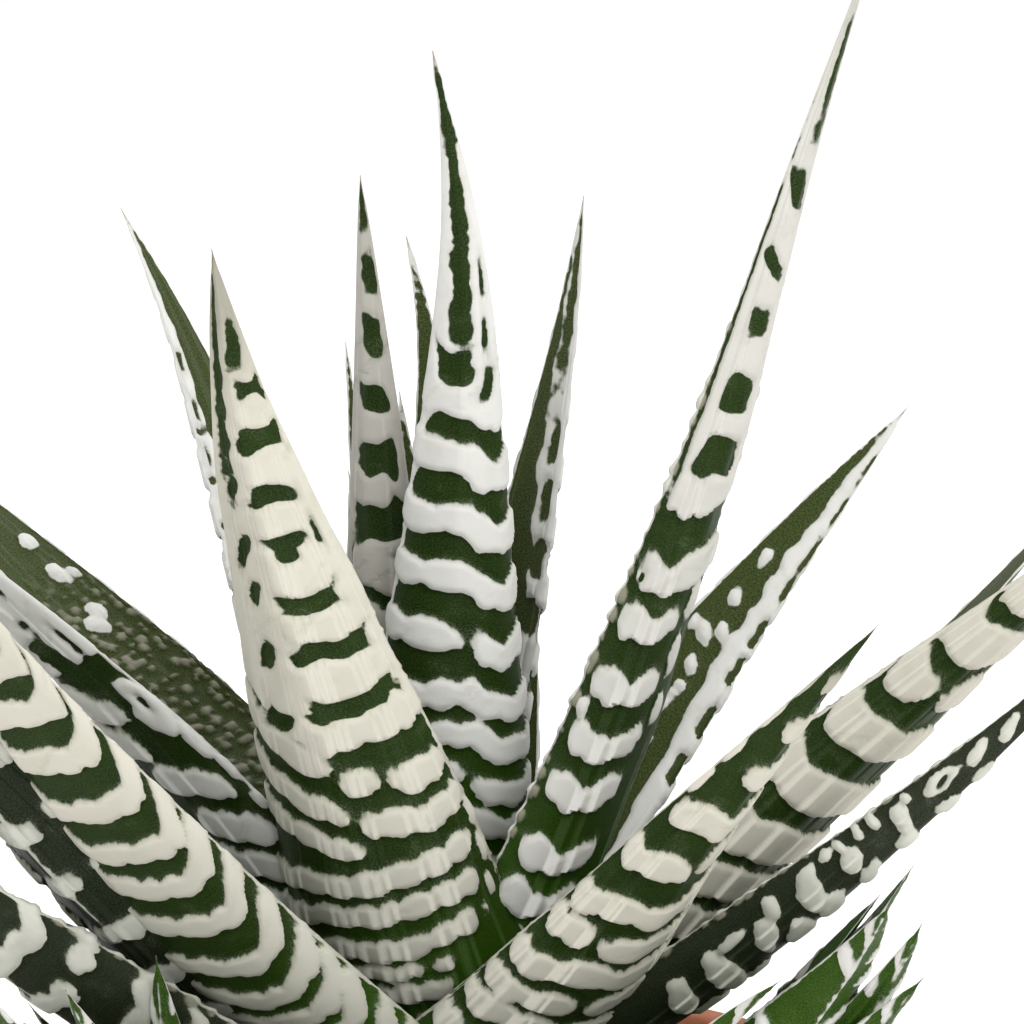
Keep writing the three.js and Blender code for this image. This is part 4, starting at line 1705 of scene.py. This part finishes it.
BEADED_FACE = Marking(
    pitch=(4.4, 5.4), spots=0, beads=0.74, margin=(0.3, 0.8),
    face_spots=(
        Spot(53.6, 0.33, 1.0, 0.55),
        Spot(49.3, 0.23, 1.3, 0.6),
        Spot(48.8, 0.5, 0.7, 0.45),
        Spot(44.4, 0.17, 1.0, 0.6),
        Spot(43.4, -0.03, 0.9, 0.6),
        Spot(42.7, 0.07, 0.8, 0.5),
    ),
)

SERRATED = Marking(
    pitch=(4.0, 4.4), share=(0.76, 0.8), margin=(0.3, 0.6), teeth=0.5, spots=0, lobe_depth=0.5,
    cuts=(1.0, 0.0), hem=(0.75, 0.2), hem_side=-1.0,
    hem_windows=(
        Spot(54.6, -0.62, 0.9, 0.28),
        Spot(50.3, -0.62, 0.9, 0.3),
        Spot(46.2, -0.68, 0.8, 0.3),
        Spot(48.4, -0.75, 0.35, 0.9),
        Spot(44.2, -0.8, 0.35, 0.9),
        Spot(40.2, -0.85, 0.35, 0.9),
        Spot(36.2, -0.85, 0.4, 0.9),
        Spot(32.2, -0.85, 0.4, 0.9),
        Spot(28.2, -0.85, 0.4, 0.9),
    ),
)

RINGED_LOW = Marking(
    bands=(
        Band(13.4), Band(16.7), Band(20.2), Band(24.0), Band(28.3), Band(32.7), Band(36.9), Band(41.5),
        Band(46.8), Band(52.0), Band(57.4),
    ),
    pitch=(3.8, 5.3), share=(0.52, 0.64), sag=0.0, waver=0.2, lobe=3.0, lobe_depth=0.4, cuts=(0.4, 0.0),
    wave=((-1.0, 4.4), (-0.92, 3.6), (-0.83, 1.6), (-0.75, 0.9), (-0.6, 0.1), (-0.4, 0.0), (0.0, 0.8),
          (0.3, 1.5), (1.0, 3.0)),
    sides=(1.0, 1.0), margin=(0.15, 0.5), keel=(0.0, 0.0),
)

BANDED_BEHIND = Marking(
    bands=(
        Band(12.0, 5.4, (-0.86, 0.9), ()),
        Band(16.0, 5.4, (-0.86, 0.9), (0.1,)),
        Band(20.2, 5.4, (-0.86, 0.9), ()),
        Band(24.4, 5.4, (-0.86, 0.9), (0.2,)),
        Band(28.6, 5.5, (-0.87, 0.9), (-0.1,)),
        Band(32.8, 5.5, (-0.8, 0.9), (-0.02,)),
        Band(37.0, 8.0, (-0.25, 0.9), ()),
        Band(41.5, 8.0, (-0.38, 0.9), ()),
    ),
    pitch=(4.2, 5.4), share=(0.56, 0.62), sag=0.0, lobe=2.4, lobe_depth=0.4, gap=0.3, sides=(0.95, 0.95),
    margin=(0.15, 0.9), solid=44.6, bend=(0.0, 4.0), keel=(0.0, 0.0),
    pads=(
        Spot(38.4, -0.74, 3.4, 1.5),
        Spot(33.6, -0.88, 2.2, 0.8),
        Spot(29.9, -0.95, 1.4, 0.6),
        Spot(26.4, -0.95, 1.1, 0.5),
    ),
    windows=(
        Spot(45.4, -0.22, 4.2, 0.7, turn=4),
        Spot(38.6, -0.72, 0.8, 0.3),
        Spot(46.4, -0.62, 1.6, 0.25),
        Spot(55.4, -0.37, 3.2, 0.4),
        Spot(62.7, -0.7, 3.2, 0.25),
    ),
)

RIDGED_LOW = Marking(
    bands=(
        Band(14.6, 0.0, (-1.0, 1.0), ()),
        Band(18.1, 0.0, (-1.0, 1.0), ()),
        Band(21.6, 0.0, (-1.0, 1.0), (0.1,)),
        Band(25.5, 0.0, (-1.0, 1.0), ()),
        Band(29.7, 0.0, (-1.0, 1.0), (0.35,)),
        Band(34.0, 0.0, (-1.0, 1.0), ()),
        Band(39.2, 0.0, (-1.0, 1.0), (-0.05,)),
        Band(45.1, 0.0, (-1.0, 0.85), ()),
        Band(50.6, 0.0, (-1.0, 0.3), ()),
        Band(56.0, 0.0, (-1.0, 0.3), ()),
    ),
    pitch=(3.6, 5.6), share=(0.66, 0.6), sag=0.0, waver=0.4, cuts=(0.6, 0.2), sides=(1.0, 0.34), spread=0.0,
    wave=((-1.0, 1.0), (-0.6, 0.4), (0.0, 0.0), (0.3, 0.5), (0.6, 0.0), (0.85, 0.6), (1.0, 1.4)), lobe=3.4,
    lobe_depth=0.55, margin=(0.25, 0.4), keel=(0.0, 0.0), edges=(1.2, 0.2),
    pads=(
        Spot(48.6, 0.94, 1.7, 0.8),
        Spot(52.4, 0.95, 1.6, 0.7),
        Spot(56.8, 0.96, 1.5, 0.5),
        Spot(60.5, 0.97, 1.2, 0.3),
    ),
)

BIG_PADS = Marking(
    bands=(
        Band(22.2), Band(27.0), Band(32.2), Band(37.7), Band(44.2), Band(50.9, 0.0, None, (0.02,)),
        Band(56.6), Band(62.0),
    ),
    pitch=(5.0, 6.2), share=(0.7, 0.7), sag=0.0, waver=0.2, lobe=4.6, lobe_depth=0.5, cuts=(0.3, 0.0),
    wave=((-1.0, 2.0), (-0.5, 1.5), (0.0, 0.7), (0.35, 0.0), (0.6, 0.2), (1.0, 1.6)),
    sides=(0.95, 0.98), spread=0.0, margin=(0.4, 0.9), keel=(0.0, 0.0),
)

OVALS = Marking(
    first=100.0, margin=(0.1, 0.15), edges=(0.4, 0.6), keel=(0.0, 0.0), teeth=0.7, spots=2,
    windows=(Spot(49.3, 0.46, 0.75, 0.24, turn=20),),
    pads=(
        Spot(60.0, 0.3, 1.2, 0.5, turn=20),
        Spot(56.1, 0.36, 1.5, 0.5, turn=20),
        Spot(53.0, 0.46, 1.4, 0.55, turn=20),
        Spot(49.1, 0.5, 1.75, 0.86, turn=10),
        Spot(46.2, 0.71, 0.72, 0.42, turn=84),
        Spot(44.6, 0.42, 1.65, 0.72, turn=61),
        Spot(42.9, 0.75, 1.18, 0.46, turn=81),
        Spot(41.3, 0.75, 1.29, 0.42, turn=80),
        Spot(39.1, 0.38, 1.3, 0.9, turn=57),
        Spot(39.4, 0.72, 1.1, 0.4, turn=90),
        Spot(38.1, 0.76, 0.88, 0.53, turn=48),
        Spot(34.9, 0.46, 2.64, 1.0, turn=58),
        Spot(29.4, 0.33, 2.15, 0.95, turn=44),
        Spot(31.6, 0.6, 1.5, 0.7, turn=60),
        Spot(27.1, 0.58, 1.84, 0.57, turn=4),
        Spot(24.2, 0.25, 3.4, 1.2, turn=72),
        Spot(20.4, 0.4, 2.6, 1.1, turn=60),
        Spot(51.8, -0.02, 1.3, 0.45),
        Spot(47.8, 0.0, 1.25, 0.5, turn=-8),
        Spot(43.3, 0.04, 1.1, 0.6, turn=3),
        Spot(39.1, 0.04, 1.5, 0.6, turn=20),
        Spot(34.6, 0.0, 1.8, 0.86, turn=26),
        Spot(31.0, 0.0, 1.9, 1.1, turn=37),
        Spot(25.2, -0.17, 1.8, 1.0, turn=30),
        Spot(20.0, -0.1, 1.7, 1.2),
        Spot(65.0, 0.0, 1.3, 0.3),
    ),
)

PATCHED = Marking(
    pitch=(5.2, 6.4), share=(0.38, 0.44), cuts=(1.8, 1.6), gap=0.5, sag=0.3, lobe=3.0, lobe_depth=0.6,
    loss=0.1, margin=(0.15, 0.4), teeth=0.8,
)


def behind(heading: float, lean: Pair, length: float, width: float, root: float, start: Pair,
           detail: float = 0.5) -> Blade:
    """A leaf that others hide, wholly or for the most part, with a coarser mesh."""
    return Blade(heading, lean, length, width, root, start, marking=HIDDEN, detail=detail)


LEAVES = (
    behind(-100, (80, 70), 56, 16, 2.2, (-0.5, -3)),
    behind(108, (74, 64), 60, 16, 2.5, (-1, 3)),
    behind(145, (82, 74), 62, 15, 2.6, (-2.5, 2)),
    behind(-68, (78, 70), 58, 16, 3.2, (1, -3)),
    behind(75, (72, 62), 60, 16, 3.5, (1, 3)),
    behind(-122, (74, 67), 58, 15, 3.8, (-1.5, -2.5)),
    Blade(-158, (68, 42), 73, 21, 4, (-4.6, -2.8), roll=22, taper=0.9, marking=PATCHED,
          tone=Tone.DARK, detail=0.85),
    behind(35, (66, 58), 62, 15, 5, (2.5, 1.5)),
    behind(128, (64, 58), 60, 16, 6, (-2, 2.5)),
    Blade(-150, (59.5, 36.5), 68, 19.5, 6.4, (-3.8, -1.4), roll=27, taper=0.85, marking=PATCHED,
          tone=Tone.DARK, detail=0.85),
    Blade(11, (53.5, 44.5), 75.5, 11.5, 6.4, (2.8, 0.8), sway=-8, roll=1, marking=PATCHED,
          tone=Tone.DARK, detail=0.8),
    Blade(-52, (52.5, 43.5), 68, 22, 6.2, (0.2, -2.2), sway=-9, roll=-2, taper=1, marking=RIDGED_LOW,
          tone=Tone.CREAM),
    behind(95, (62, 56), 60, 16, 7, (0, 3)),
    Blade(-25, (60.5, 42), 77.5, 16.5, 7, (4.6, -2.8), sway=-4, roll=-17, taper=1.05, marking=OVALS,
          tone=Tone.DARK),
    Blade(-141, (50, 34.5), 92, 24.5, 7.4, (-3.4, -2.4), roll=2, taper=1, marking=RINGED_LOW,
          tone=Tone.CREAM),
    behind(60, (62, 57), 56, 14, 8.5, (1.5, 2.5)),
    Blade(-15, (49, 48.5), 81.5, 17.5, 7.8, (3, -1), sway=6, roll=-47, marking=BIG_PADS, tone=Tone.CREAM),
    Blade(-121, (31.5, 25), 80, 22.5, 9, (1.2, -1.4), sway=-8, sway_from=0.65, roll=14, taper=1,
          marking=BROAD_UPRIGHT, tone=Tone.CREAM),
    Blade(32, (43.5, 43.5), 67.5, 13, 9.4, (-0.2, 2.2), sway=8, sway_from=0.3, roll=38, taper=0.85,
          marking=GREEN_FACE),
    behind(62, (34, 16), 36, 11, 9.6, (1, 2), 0.6),
    behind(112, (46, 44), 58, 15, 10, (-1, 2.5)),
    Blade(-162, (39.5, 51), 73.5, 16.5, 10.2, (-1, 1.4), sway=2, roll=19, taper=0.85, marking=BANDED_BEHIND),
    behind(88, (38, 34), 56, 14, 12, (0.5, 2)),
    Blade(-35, (30.5, 13.5), 99, 14.5, 12.2, (2.2, -3.6), sway=-13, sway_from=0.65, roll=-8, taper=1.1,
          marking=LONG_RIGHT, tone=Tone.PAINTED_SHADE_WHITE),
    Blade(151, (47.5, 59), 75.5, 18, 13, (-1, 0.4), sway=4, roll=-15, marking=BEADED_FACE),
    Blade(157, (18.5, 23.5), 68.5, 16, 14, (-3.4, -0.4), sway=-13, sway_from=0.7, roll=-14, marking=SERRATED),
    behind(115, (24, 20), 42, 11, 15, (-1.5, 1.5), 0.6),
    behind(132, (12, 9), 50, 7.5, 17, (-2, 2), 0.7),
    behind(70, (20, 14), 38, 9, 17.2, (1.5, 2), 0.6),
    Blade(35, (17, 12.5), 62.5, 10, 18, (-0.4, 0.8), sway=-6, sway_from=0.7, roll=10, taper=0.85,
          marking=LEAN_INNER),
    Blade(-73, (9.5, 6), 74.5, 15, 19, (0, -2.8), sway=13, sway_from=0.6, roll=-16, taper=1.1,
          marking=TALL_MIDDLE),
    Blade(96, (7, 9), 56, 7.5, 20, (-0.2, 0.2), sway=-13, sway_from=0.7, roll=-2, taper=0.9,
          marking=Marking(spots=0), detail=0.8),
    Blade(-130, (4, 4.5), 61.5, 10, 20.4, (-3.2, -1.2), sway=1, roll=4, taper=0.85, marking=GREY_INNER,
          tone=Tone.PAINTED_SHADE_GREY),
    Blade(116, (3, 7), 39, 7, 24, (-1.4, 0), sway=-3, roll=-4, taper=0.9,
          marking=Marking(spots=0), detail=0.8),
)

OFFSETS = (
    Offset("offset_right", (19, -13), (
        Blade(-56, (48, 50), 42.5, 12, 5.8, sway=13, roll=-16, taper=0.85),
        Blade(-15, (42.5, 34), 33, 9.5, 5.6, sway=11, roll=11, taper=0.85),
        Blade(-12, (34.5, 40), 29, 9.5, 5.6, sway=13, roll=14, taper=0.9),
        Blade(-45, (56, 38.5), 39.5, 10, 4, sway=13, roll=-16, taper=0.85),
        Blade(-47, (58, 47.5), 36, 10, 4.4, sway=5, roll=-15, taper=0.85),
        Blade(25, (50, 42), 24, 8, 3),
        Blade(170, (26, 14), 11, 6.5, 3.5),
    )),
    Offset("offset_front", (11, -22.5), (
        Blade(-26, (34, 54), 27, 8.5, 6, sway=13, roll=-16, taper=0.85),
        Blade(-60, (46, 38), 19, 7, 3),
        Blade(-120, (46, 38), 17, 7, 3),
        Blade(170, (40, 32), 14, 6, 3.5),
        Blade(-95, (18, 8), 16, 6, 4),
    )),
    Offset("offset_left", (-20.5, -14.5), (
        Blade(-172, (54, 44), 28, 9, 3.5),
        Blade(-148, (50, 40), 30, 9.5, 4),
        Blade(-118, (46, 38), 27, 9, 4),
        Blade(-85, (48, 40), 22, 8, 3),
        Blade(165, (48, 40), 20, 8, 3),
        Blade(-110, (22, 14), 20, 7, 5),
    )),
)


def main() -> None:
    """Builds the plant, its pot and the studio."""
    logging.basicConfig(level=logging.INFO, format="%(name)s %(message)s")
    finishes = {
        # Cream white: its darker low is painted shade at the base, and its tip_shade is painted shade towards
        # the tip.
        Tone.CREAM: LeafFinish("leaf_cream", white=(0.57, 0.55, 0.475), shade=(0.47, 0.46, 0.37),
                               low=(0.40, 0.405, 0.355), tip_shade=0.65).build(),
        Tone.WHITE: LeafFinish("leaf_white").build(),
        # Painted shade: a darker copy of the white finish for the long leaf in the strongest light. Its
        # lighter low is painted light at the base.
        Tone.PAINTED_SHADE_WHITE: LeafFinish("leaf_white_painted_shade", white=(0.54, 0.53, 0.49), shade=(0.45, 0.44, 0.40),
                              low=(0.68, 0.68, 0.66), tip_shade=0.3).build(),
        # Painted shade: the white painted grey for the inner leaf in shade. Its heavier pitting is the leaf's
        # own.
        Tone.PAINTED_SHADE_GREY: LeafFinish("leaf_grey_painted_shade", white=(0.46, 0.44, 0.40), shade=(0.36, 0.34, 0.31),
                              low=(0.46, 0.44, 0.40), pitted=0.5).build(),
        Tone.DARK: LeafFinish("leaf_dark", white=(0.57, 0.575, 0.51), shade=(0.33, 0.34, 0.28),
                              low=(0.36, 0.37, 0.30), deep=(0.008, 0.013, 0.005),
                              light=(0.030, 0.038, 0.020), lime_reach=0.05).build(),
        Tone.YOUNG: LeafFinish("leaf_young", light=(0.050, 0.110, 0.010), deep=(0.014, 0.040, 0.003),
                               face=(0.050, 0.110, 0.010), lime_reach=0.7).build(),
    }
    Rosette(LEAVES, finishes).build()
    for order, offset in enumerate(OFFSETS):
        offset.build(order, finishes[Tone.YOUNG])
    pot = Pot()
    pot.build(ClayFinish(pot.height * MM).build())
    peat = EarthFinish("peat", (0.010, 0.007, 0.005), (0.060, 0.040, 0.026)).build()
    stones = EarthFinish("stones", (0.16, 0.13, 0.10), (0.42, 0.37, 0.31), 420.0).build()
    Soil(pot).build(peat, stones)
    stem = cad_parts["stem"]
    stem.material_slots[0].material = EarthFinish("bark", (0.05, 0.06, 0.02), (0.14, 0.15, 0.06)).build()
    Studio().build()


if __name__ == "__main__":
    main()
